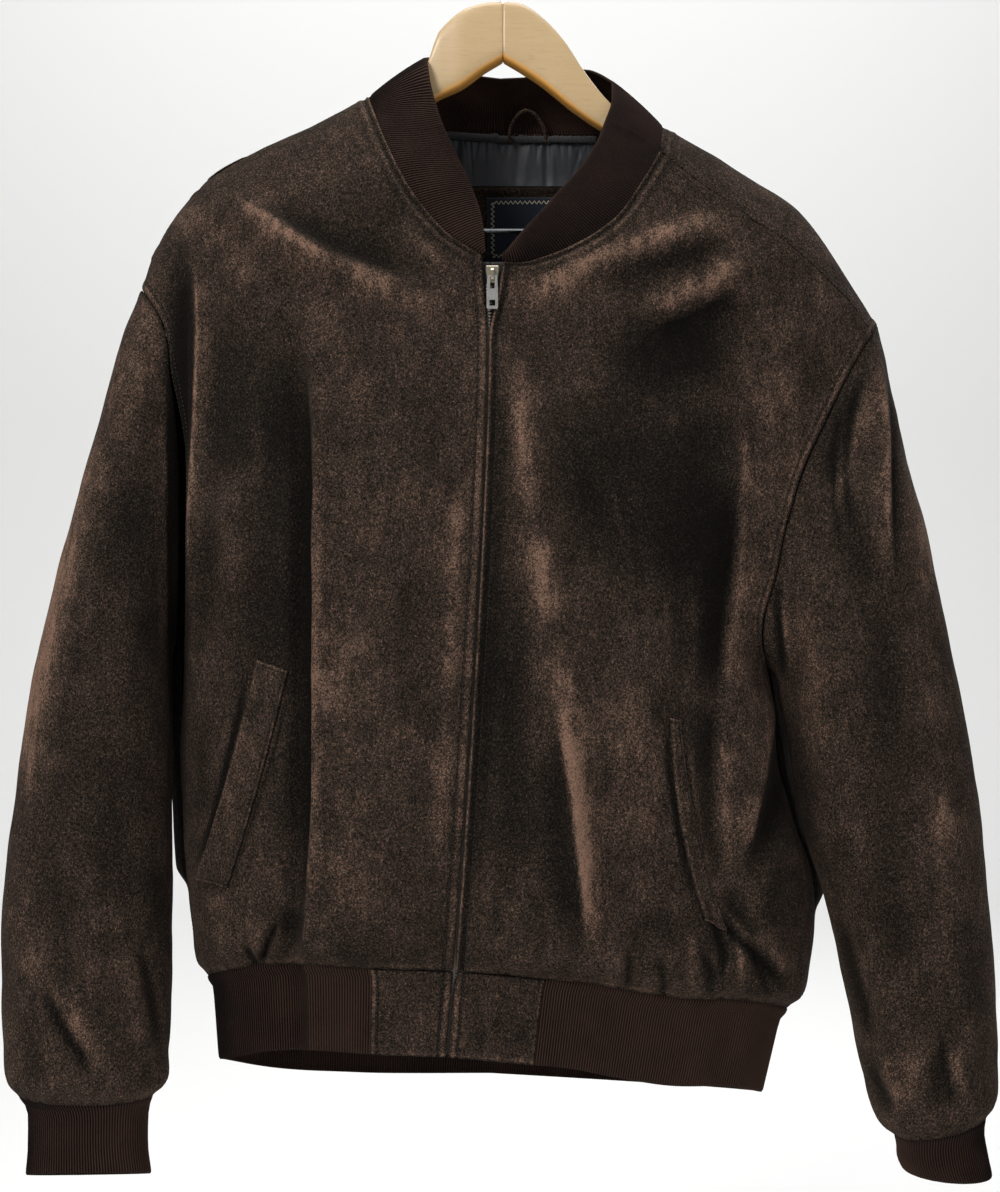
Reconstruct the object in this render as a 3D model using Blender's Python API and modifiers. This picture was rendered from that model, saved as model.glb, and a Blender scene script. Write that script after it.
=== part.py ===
"""Suede bomber jacket hanging on a wooden hanger, as one rigid object with a zip pull that swings.

Lengths are millimetres until make() writes them in metres. X runs to the wearer's left, Y to the back, Z up.
The origin is where a rail bears inside the hook. Left and right are the wearer's.

The cloth is drawn on a front elevation of small squares: column 503 is the hanger's centre line, rows count down
from the hanger's top, and lay() gives each point its place in space once its depth is known.
Every seam is a row or column of points that both pieces share, so the pieces meet edge to edge with a fine gap.
"""

import math

import bmesh
import bpy
import numpy as np
from mathutils import Vector
from mathutils.bvhtree import BVHTree

SQUARE = 0.75  # one square of the elevation
MIDDLE, LEVEL = 503, 596  # its column on the hanger's centre line, its row at eye level
EYE = 1400  # the elevation is drawn as seen from this far
FACE = 1340  # where a square is full size
WALL = 1.6  # suede and knit
GAP = 0.2  # each piece stands back this far from a seam

UNDERARM, NECK_FRONT, NECK_BACK = 0.373, 0.72, 0.87  # heights up a panel, hem 0 to shoulder 1
HEIGHTS = np.concatenate(
    [
        [0, 0.022, 0.055, 0.1, 0.155, 0.21, 0.265, 0.32],
        np.linspace(UNDERARM, NECK_FRONT, 8)[:-1],
        np.linspace(NECK_FRONT, NECK_BACK, 4)[:-1],
        [NECK_BACK, 0.92, 0.96, 0.985, 0.996, 1],
    ]
)
ACROSS = {
    "right": np.array([0, 0.035, 0.13, 0.23, 0.333, 0.42, 0.5, 0.56, 0.6, 0.66, 0.74, 0.82, 0.89, 0.945, 0.98, 1]),
    "left": np.array([0, 0.03, 0.11, 0.19, 0.264, 0.35, 0.44, 0.53, 0.62, 0.7, 0.78, 0.855, 0.915, 0.96, 0.987, 1]),
}
TAB_COLUMN = 4  # the hem band's suede tab ends at this column of ACROSS

# Each table: place along the line, column, row.
ZIP_LINE = [(240, 491.5), (270, 490), (400, 487), (600, 478), (770, 468), (960, 455), (1060, 447.5)]  # row, column
FRONT_INNER = {
    "right": [
        (0, 450, 972), (0.18, 463.5, 793), (0.36, 475, 613), (0.54, 482.5, 433), (0.66, 485.5, 314), (0.72, 482, 254),
        (0.7395, 470, 247), (0.775, 449, 233), (0.8176, 428, 211), (0.8628, 409, 185), (0.9106, 393, 155),
        (0.9639, 378, 120), (1, 369, 97),
    ],
    "left": [
        (0, 458, 972), (0.18, 471.5, 794), (0.36, 483, 616), (0.54, 490.5, 439), (0.66, 494.5, 320), (0.72, 503, 261),
        (0.7433, 520, 262), (0.7786, 545, 256), (0.8156, 570, 246), (0.855, 595, 232), (0.8959, 618, 213),
        (0.9382, 636, 188), (0.974, 650, 166), (1, 660, 150),
    ],
}
SIDE = {
    "right": [(0, 207, 976), (0.022, 198, 956), (0.055, 192, 926), (0.1, 188, 886), (0.15, 184, 841), (0.2, 181, 796),
              (0.25, 180, 751), (0.31, 179.5, 697), (0.345, 179, 666), (0.373, 177, 640)],
    "left": [(0, 788, 1009), (0.022, 801, 988), (0.055, 810, 958), (0.1, 815, 917), (0.15, 811, 871), (0.2, 796, 826),
             (0.25, 785, 780), (0.31, 775, 725), (0.345, 769, 692), (0.373, 766, 667)],
}
FRONT_ARMHOLE = {
    "right": [(0.373, 177, 640), (0.478, 179, 580), (0.585, 180, 519), (0.688, 179, 460), (0.7765, 175, 410),
              (0.8436, 170, 372), (0.889, 168, 346), (0.928, 163, 325), (0.9655, 153, 306), (1, 141, 290)],
    "left": [(0.373, 766, 667), (0.4228, 762, 639), (0.4723, 765, 611), (0.539, 775, 575), (0.6396, 788, 519),
             (0.7443, 807, 463), (0.8286, 827, 420), (0.9169, 849, 374), (1, 873, 334)],
}
BACK_ARMHOLE = {
    "right": [(0.373, 177, 640), (0.4696, 184, 585), (0.578, 188, 523), (0.695, 187, 456), (0.8107, 180, 390),
              (0.9098, 166, 335), (0.966, 152, 306), (1, 141, 290)],
    "left": [(0.373, 766, 667), (0.4587, 780, 620), (0.5429, 797, 575), (0.6443, 812, 519), (0.7471, 830, 463),
             (0.8267, 845, 420), (0.9113, 860, 374), (1, 879, 327)],
}
BACK_INNER = {
    "right": [(0, 498, 992), (0.4, 503, 620), (0.87, 509, 133), (0.899, 475, 132), (0.929, 440, 129),
              (0.9554, 410, 123), (0.9794, 385, 112), (1, 369, 97)],
    "left": [(0, 498, 992), (0.4, 503, 620), (0.87, 509, 133), (0.9, 545, 134), (0.929, 580, 134),
             (0.956, 612, 133), (0.979, 640, 131), (0.992, 655, 130), (1, 664, 128)],
}
RIDGE = {  # the top line of the shoulders, carried on to the middle
    "right": [(0, 369, 97), (0.2325, 316, 122), (0.504, 254, 152), (0.7237, 205, 182), (0.833, 180, 211),
              (0.9167, 161, 240), (0.969, 148, 267), (1, 141, 290)],
    "left": [(0, 664, 128), (0.19, 705, 151), (0.423, 754, 181), (0.628, 798, 212), (0.74, 822, 241),
             (0.833, 842, 270), (0.926, 863, 301), (1, 879, 327)],
}
RIDGE_INWARD = {"right": [(503, 50), (430, 68), (369, 97)], "left": [(503, 50), (600, 86), (664, 128)]}
LEFT_SHOULDER_SEAM = [(0, 660, 150), (0.164, 695, 178), (0.338, 732, 205), (0.526, 772, 231), (0.629, 794, 248),
                      (0.779, 826, 277), (0.911, 854, 306), (1, 873, 334)]
FRONT_HEM = {
    "right": [(0, 450, 972), (0.333, 369, 969), (0.621, 299, 965), (0.794, 257, 967), (0.926, 225, 973), (1, 207, 976)],
    "left": [(0, 458, 972), (0.233, 535, 979), (0.394, 588, 984), (0.518, 629, 992), (0.697, 688, 1001),
             (0.89, 752, 1003), (0.96, 775, 1006), (1, 788, 1009)],
}
BACK_HEM = {
    "right": [(0, 498, 992), (0.5, 352, 991), (0.85, 251, 984), (1, 207, 976)],
    "left": [(0, 498, 992), (0.5, 643, 1000), (0.85, 745, 1006), (1, 788, 1009)],
}
# height, depth in front of the shoulder line, depth behind it
DEPTH = [(0, 68, 60), (0.022, 82, 74), (0.055, 92, 82), (0.1, 97, 86), (0.2, 99, 88), (0.373, 95, 86), (0.55, 85, 82),
         (0.72, 68, 76), (0.87, 61, 68), (1, 56, 62)]
SHOULDER_REACH = 95  # the shoulders round off over this drop
# height, squares from the armhole out to where the panel would close, exponent of its section: front, then back
CLOSING = {
    "right": [(0, 0, 2.6, 0, 2.6), (0.373, 0, 3, 0, 2.6), (0.45, 1.2, 4, 8, 2.6), (0.6, 2, 4.5, 14, 2.6),
              (0.75, 3, 4.5, 22, 2.6), (0.88, 12, 3.4, 30, 2.6), (1, 30, 2.6, 30, 2.6)],
    "left": [(0, 0, 2.6, 0, 2.6), (0.373, 0, 2.6, 0, 2.6), (0.45, 14, 2.5, 8, 2.6), (0.6, 36, 2.4, 14, 2.6),
             (0.75, 40, 2.4, 22, 2.6), (0.88, 40, 2.4, 30, 2.6), (1, 40, 2.4, 30, 2.6)],
}
# place along the sleeve, outer column and row, inner column and row, half depth, middle depth, hold of the armhole
SLEEVE = {
    "right": [
        (0, 141, 290, 177, 640, 46, 0, 1), (0.035, 133, 312, 174.5, 644, 54, -3, 0.3), (0.09, 121, 350, 172, 655, 58, -6, 0.05),
        (0.16, 106, 405, 171, 680, 60, -9, 0), (0.26, 87, 478, 171, 715, 60, -13, 0), (0.38, 61, 575, 172, 765, 59, -17, 0),
        (0.5, 38, 670, 171, 818, 57, -20, 0), (0.62, 21, 765, 171, 872, 55, -23, 0), (0.74, 8, 865, 171, 930, 53, -26, 0),
        (0.86, 4, 965, 170, 995, 50, -29, 0), (0.94, 5, 1035, 168, 1046, 47, -31, 0), (0.98, 9, 1072, 164, 1078, 42, -32, 0),
        (1, 19, 1094, 153, 1094, 33, -33, 0),
    ],
    "left": [
        (0, 878, 330, 766, 667, 46, 0, 1), (0.035, 884, 352, 771, 670, 50, -3, 0.8), (0.09, 892, 390, 777, 679, 55, -6, 0.4),
        (0.16, 902, 445, 781, 702, 59, -9, 0.1), (0.26, 921, 520, 788, 735, 60, -13, 0), (0.38, 942, 610, 795, 785, 59, -17, 0),
        (0.5, 960, 700, 805, 835, 57, -20, 0), (0.62, 975, 790, 823, 890, 55, -23, 0), (0.74, 984, 885, 838, 950, 53, -26, 0),
        (0.86, 992, 980, 853, 1020, 50, -29, 0), (0.94, 996, 1050, 864, 1075, 47, -31, 0), (0.98, 994, 1090, 876, 1112, 42, -32, 0),
        (1, 985, 1113, 895, 1134, 33, -33, 0),
    ],
}
SLEEVE_ROWS = np.array([0, 0.035, 0.09, 0.15, 0.21, 0.27, 0.33, 0.39, 0.45, 0.51, 0.57, 0.63, 0.69, 0.75, 0.81, 0.87, 0.93, 0.965, 0.985, 1])
# place along the cuff, outer column and row, inner column and row, half depth, middle depth, rise of its front
CUFF = {
    "right": [(0, 19, 1094, 153, 1094, 33, -33, 0), (0.14, 26, 1104, 149, 1104, 28, -33, 2), (0.5, 28, 1138, 147, 1138, 26, -34, 5),
              (1, 26, 1175, 151, 1173, 27, -35, 9)],
    "left": [(0, 985, 1113, 895, 1134, 33, -33, 0), (0.14, 983, 1125, 897, 1142, 28, -33, 0), (0.5, 986, 1150, 898, 1156, 27, -34, 0),
             (1, 991, 1174, 904, 1170, 28, -35, 0)],
}
HEM_DROP, HEM_DRIFT = 65, -5.5
PULL_LEAN = 6
# Free edge of the collar: place from the front end or the nape to the shoulder line, column, row, depth.
COLLAR_FRONT = {
    "right": [(0, 486, 249, -72), (0.07, 485, 236, -71), (0.196, 481, 212, -67), (0.35, 472, 186, -60), (0.51, 461, 162, -52),
              (0.68, 449, 137, -42), (0.83, 437, 106, -31), (0.9, 430, 80, -24), (0.935, 427.5, 63, -18), (0.97, 426.5, 59, -11), (1, 426, 57, -2)],
    "left": [(0, 505, 250, -72), (0.083, 513, 241, -71), (0.21, 526, 226, -68), (0.34, 541, 210, -64), (0.48, 556, 193, -58),
             (0.63, 571, 177, -52), (0.78, 587, 157, -45), (0.907, 598, 138, -37), (1, 605, 120, -29)],
}
COLLAR_BACK = {
    "right": [(0, 500, 78, 48), (0.3, 478, 75, 44), (0.6, 455, 69, 34), (0.85, 430, 57, 15), (1, 426, 57, -2)],
    "left": [(0, 500, 78, 48), (0.3, 535, 76, 45), (0.55, 565, 71, 38), (0.8, 592, 70, 22), (1, 612, 81, 0)],
}
COLLAR_OVER_SHOULDER = [(0, 612, 81, 0), (1 / 3, 612, 91, -10), (2 / 3, 611, 104, -20), (1, 605, 120, -29)]
STRIP = np.array([1 / 3, 2 / 3, 1])  # the back's strip over the left shoulder, from its ridge to its seam

# Long folds of the fronts: name, side, height, reach across, then column and row down the fold.
STEP_FOLD = [(200, 296), (333, 301), (362, 307), (412, 310), (479, 311), (600, 311), (728, 311), (830, 309), (919, 303), (980, 299)]
ROLL_VALLEY = [(250, 741), (480, 740), (620, 731), (718, 721), (804, 720), (874, 727), (960, 742)]
CHEST_RIDGE = [(330, 528), (430, 531), (580, 541), (696, 560), (855, 576), (976, 589)]


# colour, roughness, metallic of what the pieces are made of
FINISH = {
    "suede": ((0.040, 0.026, 0.019), 0.95, 0),
    "rib": ((0.030, 0.019, 0.015), 0.9, 0),
    "lining": ((0.028, 0.031, 0.035), 0.45, 0),
    "label": ((0.008, 0.013, 0.024), 0.8, 0),
    "tape": ((0.022, 0.015, 0.012), 0.9, 0),
    "wood": ((0.62, 0.42, 0.22), 0.45, 0),
    "metal": ((0.62, 0.60, 0.57), 0.28, 1),
}
MADE_OF = {
    "rib": ("collar_rib", "cuff", "hem_rib"),
    "lining": ("neck_lining", "neck_piping"),
    "label": ("neck_label",),
    "tape": ("zip_tape",),
    "metal": ("zip_slider", "zip_pull", "hanger_hook", "hanger_bar"),
    "wood": ("hanger",),
    "suede": ("",),
}


def curve(table, at):
    """Smooth values of the table's later columns at places along its first."""
    table = np.array(table, float)
    x, y = table[:, 0], table[:, 1:]
    slope = np.gradient(y, x, axis=0)
    at = np.clip(np.asarray(at, float), x[0], x[-1])
    i = np.clip(np.searchsorted(x, at, side="right") - 1, 0, len(x) - 2)
    h = (x[i + 1] - x[i])[..., None]
    t = ((at - x[i])[..., None]) / h
    return (
        (2 * t**3 - 3 * t**2 + 1) * y[i]
        + (t**3 - 2 * t**2 + t) * h * slope[i]
        + (3 * t**2 - 2 * t**3) * y[i + 1]
        + (t**3 - t**2) * h * slope[i + 1]
    )


def lay(column, row, depth):
    """A point of the elevation in space, once its depth is known."""
    k = (EYE + depth) / FACE
    x = (column - MIDDLE) * SQUARE * k
    z = -530 - (row - LEVEL) * SQUARE * k
    return np.stack(np.broadcast_arrays(x, depth, z), -1)


def step(x):
    x = np.clip(x, 0, 1)
    return x * x * (3 - 2 * x)


def bell(x):
    return np.exp(-x * x)


def patch(bottom, top, inner, outer, s, v):
    """Columns and rows between four boundary lines."""
    s, v = s[None, :, None], v[:, None, None]
    corners = (
        (1 - s) * (1 - v) * inner[0] + s * (1 - v) * outer[0] + (1 - s) * v * inner[-1] + s * v * outer[-1]
    )
    return (1 - v) * bottom[None] + v * top[None] + (1 - s) * inner[:, None] + s * outer[:, None] - corners


def outer_line(side, armhole, v):
    return np.where((v <= UNDERARM)[:, None], curve(SIDE[side], v), curve(armhole[side], v))


def inner_line(table, corner, v):
    """Like curve(), but with a corner kept sharp."""
    places = [row[0] for row in table]
    i = places.index(corner)
    return np.where((v <= corner)[:, None], curve(table[: i + 1], v), curve(table[i:], v))


def drop_below_ridge(side, column, row):
    inward = np.array(RIDGE_INWARD[side], float)
    ridge = np.array(RIDGE[side], float)
    columns = np.concatenate([inward[:-1, 0], ridge[:, 1]])
    rows = np.concatenate([inward[:-1, 1], ridge[:, 2]])
    order = np.argsort(columns)
    return np.maximum(0, row - np.interp(column, columns[order], rows[order])) * SQUARE


def rounding(drop):
    return np.sqrt(1 - (1 - np.clip(drop / SHOULDER_REACH, 0, 1)) ** 2)


def section(side, column, v, back):
    """1 at the middle of a panel, falling to 0 where its side turns to the other panel."""
    closing = curve(CLOSING[side], v)
    outward = -1 if side == "right" else 1
    at = curve(SIDE[side], np.minimum(v, UNDERARM))[:, 0]
    armhole = (BACK_ARMHOLE if back else FRONT_ARMHOLE)[side]
    at = np.where(v > UNDERARM, curve(armhole, v)[:, 0], at) + outward * np.maximum(0, closing[:, 2 if back else 0])
    middle = np.full(len(v), 500.0) if back else curve([(r[0], r[1]) for r in FRONT_INNER[side][:6]], np.minimum(v, 0.66))[:, 0]
    n = closing[:, 3 if back else 1][:, None]
    along = np.clip((column - middle[:, None]) / (at - middle)[:, None], 0, 1)
    return (1 - along**n) ** (1 / n)


def front_folds(side, column, row):
    """How far the cloth stands forward of the plain front."""
    if side == "right":
        off = column - curve(STEP_FOLD, row)[..., 0]
        fade = step((row - 280) / 120)
        rise = 8 * step((off + 4) / 8) * np.exp(-np.maximum(off, 0) / 90)
        return fade * (rise - 4 * bell((off + 13) / 10)) + 4 * bell((row - 235 - 0.33 * (column - 290)) / 22) * bell((column - 300) / 70)
    off = column - curve(ROLL_VALLEY, row)[..., 0]
    ridge = column - curve(CHEST_RIDGE, row)[..., 0]
    roll = 5 * bell((column - 770 + 0.08 * (row - 700)) / 26) * step((row - 420) / 200)
    return (
        step((row - 260) / 120) * (-6 * bell(off / 17)) + roll
        + 4 * bell(ridge / 30) * step((row - 330) / 150)
        + 4 * bell((row - 258 + 0.38 * (column - 660)) / 20) * bell((column - 680) / 60)
    )


def depth_at(side, column, row, v, back):
    deep = curve(DEPTH, v)[:, 1 if back else 0][:, None]
    y = deep * rounding(drop_below_ridge(side, column, row)) * section(side, column, v, back)
    if back:
        return y
    edge = np.minimum(1, section(side, column, v, False) * 1.6)
    return -(y + front_folds(side, column, row) * edge * rounding(drop_below_ridge(side, column, row)))


def front_grid(side, s, v):
    seam = LEFT_SHOULDER_SEAM if side == "left" else RIDGE["right"]
    flat = patch(
        curve(FRONT_HEM[side], s), curve(seam, s), inner_line(FRONT_INNER[side], NECK_FRONT, v),
        outer_line(side, FRONT_ARMHOLE, v), s, v,
    )
    column, row = flat[..., 0], flat[..., 1]
    return lay(column, row, depth_at(side, column, row, v, False))


def back_grid(side, s, v):
    flat = patch(
        curve(BACK_HEM[side], s), curve(RIDGE[side], s), inner_line(BACK_INNER[side], NECK_BACK, v),
        outer_line(side, BACK_ARMHOLE, v), s, v,
    )
    column, row = flat[..., 0], flat[..., 1]
    return lay(column, row, depth_at(side, column, row, v, True))


def strip_grid(s, w, seam_points):
    """The back's strip from the left shoulder's ridge forward to its seam."""
    ridge, seam = curve(RIDGE["left"], s)[None], curve(LEFT_SHOULDER_SEAM, s)[None]
    w = w[:, None]
    column = ridge[..., 0] + (seam[..., 0] - ridge[..., 0]) * w
    row = ridge[..., 1] + (seam[..., 1] - ridge[..., 1]) * w**2
    return lay(column, row, seam_points[None, :, 1] * w)


def ring_angles(front, back):
    """Angles round a tube for points of an armhole: underarm 0, shoulder pi, and round to 2 pi."""
    def share(points):
        run = np.concatenate([[0], np.cumsum(np.linalg.norm(np.diff(points, axis=0), axis=1))])
        return run / run[-1]
    return np.concatenate([math.pi * share(front), math.pi + math.pi * share(back)[1:]])


def tube(table, places, angles, armhole=None):
    """Rings from an inner to an outer line. The first can be held to a given loop."""
    rings = []
    for place in places:
        oc, orow, ic, irow, half, middle, last = curve(table, place)
        inner, outer = lay(ic, irow, middle), lay(oc, orow, middle)
        across = (1 - np.cos(angles)) / 2
        ring = inner + (outer - inner) * across[:, None]
        ring[:, 1] -= half * np.sin(angles)
        if armhole is None:
            ring[:, 2] += last * np.sin(angles)
        else:
            first_inner, first_outer = armhole[0], armhole[np.argmin(abs(angles - math.pi))]
            plain = first_inner + (first_outer - first_inner) * across[:, None]
            plain[:, 1] -= table[0][5] * np.sin(angles)
            ring += (armhole - plain) * last
            if place == 0:
                ring = armhole.copy()
        rings.append(ring)
    return np.array(rings)


class Cloth:
    """All cloth as one net of shared points, so that seams match, split into pieces at the end."""

    def __init__(self):
        self.points, self.index, self.pieces = [], {}, {}

    def grid(self, piece, points, flip=False):
        ids = np.array([[self.point(p) for p in row] for row in points])
        faces = self.pieces.setdefault(piece, [])
        for i in range(len(ids) - 1):
            for j in range(len(ids[0]) - 1):
                face = [ids[i, j], ids[i, j + 1], ids[i + 1, j + 1], ids[i + 1, j]]
                face = [a for k, a in enumerate(face) if a != face[k - 1]]
                if len(set(face)) == len(face) > 2:
                    faces.append(face[::-1] if flip else face)

    def point(self, p):
        key = tuple(np.round(p, 2))
        if key not in self.index:
            self.index[key] = len(self.points)
            self.points.append(np.array(p, float))
        return self.index[key]

    def finish(self):
        points = np.array(self.points)
        every = [f for faces in self.pieces.values() for f in faces]
        # The body and a sleeve count alike where they meet, so both walls turn in at the seam.
        body, arms = np.zeros_like(points), np.zeros_like(points)
        normal_of = []
        for piece, faces in self.pieces.items():
            total = arms if piece.startswith("sleeve") else body
            for f in faces:
                n = np.cross(points[f[2]] - points[f[0]], points[f[-1]] - points[f[1]])
                normal_of.append(n / np.linalg.norm(n))
                total[f] += normal_of[-1]
        self.normals = sum(t / np.maximum(np.linalg.norm(t, axis=1), 1e-9)[:, None] for t in (body, arms))
        self.normals /= np.linalg.norm(self.normals, axis=1)[:, None]
        lean = np.ones(len(points))
        for f, n in zip(every, normal_of):
            lean[f] = np.minimum(lean[f], self.normals[f] @ n)
        self.inward = -self.normals * (1 / np.maximum(lean, 0.85))[:, None]
        self.points = points

    def wall(self, piece, near=0.0, thick=WALL, chosen=None, name=None, gap=GAP):
        """The piece as a closed wall whose two skins lie near and near + thick inside its drawn surface."""
        faces = self.pieces[piece] if chosen is None else chosen
        used = sorted({a for f in faces for a in f})
        new = {a: i for i, a in enumerate(used)}
        after, before = {}, {}
        edges = {(f[k - 1], f[k]) for f in faces for k in range(len(f))}
        for a, b in edges:
            if (b, a) not in edges:
                after[a], before[b] = b, a
        shift = np.zeros((len(used), 3))
        for a in after:
            n = self.normals[a]
            sides = []
            for other, sign in ((after[a], 1), (before[a], -1)):
                e = sign * (self.points[other] - self.points[a])
                b = np.cross(n, e)
                sides.append(b / np.linalg.norm(b))
            shift[new[a]] = gap * (sides[0] + sides[1]) / max(0.35, 1 + sides[0] @ sides[1])
        base = self.points[used] + shift
        inward = self.inward[used]
        count = len(used)
        verts = np.concatenate([base + inward * near, base + inward * (near + thick)])
        solid = [[new[a] for a in f] for f in faces]
        solid += [[new[a] + count for a in reversed(f)] for f in faces]
        solid += [[new[b], new[a], new[a] + count, new[b] + count] for a, b in after.items()]
        return make(name or piece, verts, solid)


def collection(name):
    found = bpy.data.collections.get(name)
    if found is None:
        found = bpy.data.collections.new(name)
        bpy.context.scene.collection.children.link(found)
    return found


def material(name):
    """Each piece's own material, from what it is made of."""
    kind = next(k for k, pieces in MADE_OF.items() if any(name.startswith(p) for p in pieces))
    colour, rough, metal = FINISH[kind]
    mat = bpy.data.materials.new(name)
    mat.use_nodes = True
    shader = mat.node_tree.nodes["Principled BSDF"]
    shader.inputs["Base Color"].default_value = (*colour, 1)
    shader.inputs["Roughness"].default_value = rough
    shader.inputs["Metallic"].default_value = metal
    return mat


def placed(name, data, tool=False):
    """A new object: a piece of the jacket, or a tool that only shapes one."""
    obj = bpy.data.objects.new(name, data)
    collection("shaping_tools" if tool else "suede_jacket_on_hanger").objects.link(obj)
    if tool:
        obj.hide_render = True
        obj.display_type = "WIRE"
    else:
        data.materials.append(material(name))
    return obj


def make(name, verts, faces, tool=False, origin=(0, 0, 0)):
    mesh = bpy.data.meshes.new(name)
    verts = np.asarray(verts) - np.asarray(origin)
    mesh.from_pydata([tuple(v) for v in verts / 1000], [], [tuple(int(i) for i in f) for f in faces])
    mesh.update()
    mesh.shade_smooth()
    mesh.set_sharp_from_angle(angle=math.radians(40))
    obj = placed(name, mesh, tool)
    obj.location = np.asarray(origin) / 1000
    return obj


def block(name, rows, tool=False, origin=(0, 0, 0)):
    """A solid through rings of equal length, capped at both ends."""
    rows = np.asarray(rows)
    count, around = rows.shape[:2]
    faces = [
        [i * around + j, i * around + (j + 1) % around, (i + 1) * around + (j + 1) % around, (i + 1) * around + j]
        for i in range(count - 1)
        for j in range(around)
    ]
    faces.append(list(range(around))[::-1])
    faces.append([(count - 1) * around + j for j in range(around)])
    obj = make(name, rows.reshape(-1, 3), faces, tool, origin)
    outward(obj)
    return obj


def outward(obj):
    mesh = bmesh.new()
    mesh.from_mesh(obj.data)
    bmesh.ops.recalc_face_normals(mesh, faces=mesh.faces)
    if mesh.calc_volume(signed=True) < 0:
        bmesh.ops.reverse_faces(mesh, faces=mesh.faces)
    mesh.to_mesh(obj.data)
    mesh.free()


def sheet_on(name, tree, columns, rows, near, thick, back=False):
    """A flat piece lying on another, found by dropping its pattern onto it from the front. near and thick count
    outward from a front, and inward from the back. columns and rows are grids on the elevation."""
    lower, upper = [], []
    inside = -1 if back else 1
    for column, row in zip(columns.ravel(), rows.ravel()):
        depth = 0.0
        for _ in range(4):
            target = lay(column, row, depth)
            eye = Vector((0, -EYE, -530))
            hit, normal, _, _ = tree.ray_cast(eye, (Vector(target) - eye).normalized())
            depth = hit.y
        normal = np.array(normal)
        hit = np.array(hit)
        if normal[1] * (1 if back else -1) < 0:
            normal = -normal
        lower.append(hit + inside * normal * near)
        upper.append(hit + inside * normal * (near + thick))
    r, c = columns.shape
    verts = np.array(lower + upper)
    half = r * c
    faces, edges = [], []
    for i in range(r - 1):
        for j in range(c - 1):
            q = [i * c + j, i * c + j + 1, (i + 1) * c + j + 1, (i + 1) * c + j]
            faces += [q[::-1], [k + half for k in q]]
    rim = (
        [j for j in range(c)] + [i * c + c - 1 for i in range(1, r)]
        + [(r - 1) * c + j for j in range(c - 2, -1, -1)] + [i * c for i in range(r - 2, 0, -1)]
    )
    for k, a in enumerate(rim):
        b = rim[(k + 1) % len(rim)]
        faces.append([a, b, b + half, a + half])
    obj = make(name, verts, faces)
    outward(obj)
    return obj


def box_tool(name, low, high, tilt=0.0, about=(0, 0, 0)):
    """A box that cuts, turned about an X axis through about."""
    low, high, about = (np.array(p, float) for p in (low, high, about))
    mesh = bpy.data.meshes.new(name)
    shape = bmesh.new()
    bmesh.ops.create_cube(shape, size=1)
    bmesh.ops.scale(shape, vec=(high - low) / 1000, verts=shape.verts)
    bmesh.ops.translate(shape, vec=((low + high) / 2 - about) / 1000, verts=shape.verts)
    shape.to_mesh(mesh)
    shape.free()
    obj = placed(name, mesh, tool=True)
    obj.location = about / 1000
    obj.rotation_euler = (tilt, 0, 0)
    return obj


def rod_tool(name, x, y, z0, z1, radius):
    """An upright rod that cuts."""
    mesh = bpy.data.meshes.new(name)
    shape = bmesh.new()
    bmesh.ops.create_cone(
        shape, cap_ends=True, segments=16, radius1=radius / 1000, radius2=radius / 1000, depth=(z1 - z0) / 1000
    )
    shape.to_mesh(mesh)
    shape.free()
    obj = placed(name, mesh, tool=True)
    obj.location = (x / 1000, y / 1000, (z0 + z1) / 2000)
    return obj


def cut(obj, tool):
    mod = obj.modifiers.new("cut_" + tool.name, "BOOLEAN")
    mod.operation = "DIFFERENCE"
    mod.solver = "EXACT"
    mod.object = tool


def wire(name, points, radius, sides=3):
    """Round wire along points, as a bevelled curve."""
    data = bpy.data.curves.new(name, "CURVE")
    data.dimensions = "3D"
    data.bevel_depth = radius / 1000
    data.bevel_resolution = sides
    data.use_fill_caps = True
    line = data.splines.new("POLY")
    line.points.add(len(points) - 1)
    for p, at in zip(line.points, points):
        p.co = (*(np.array(at) / 1000), 1)
    return placed(name, data)


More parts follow.
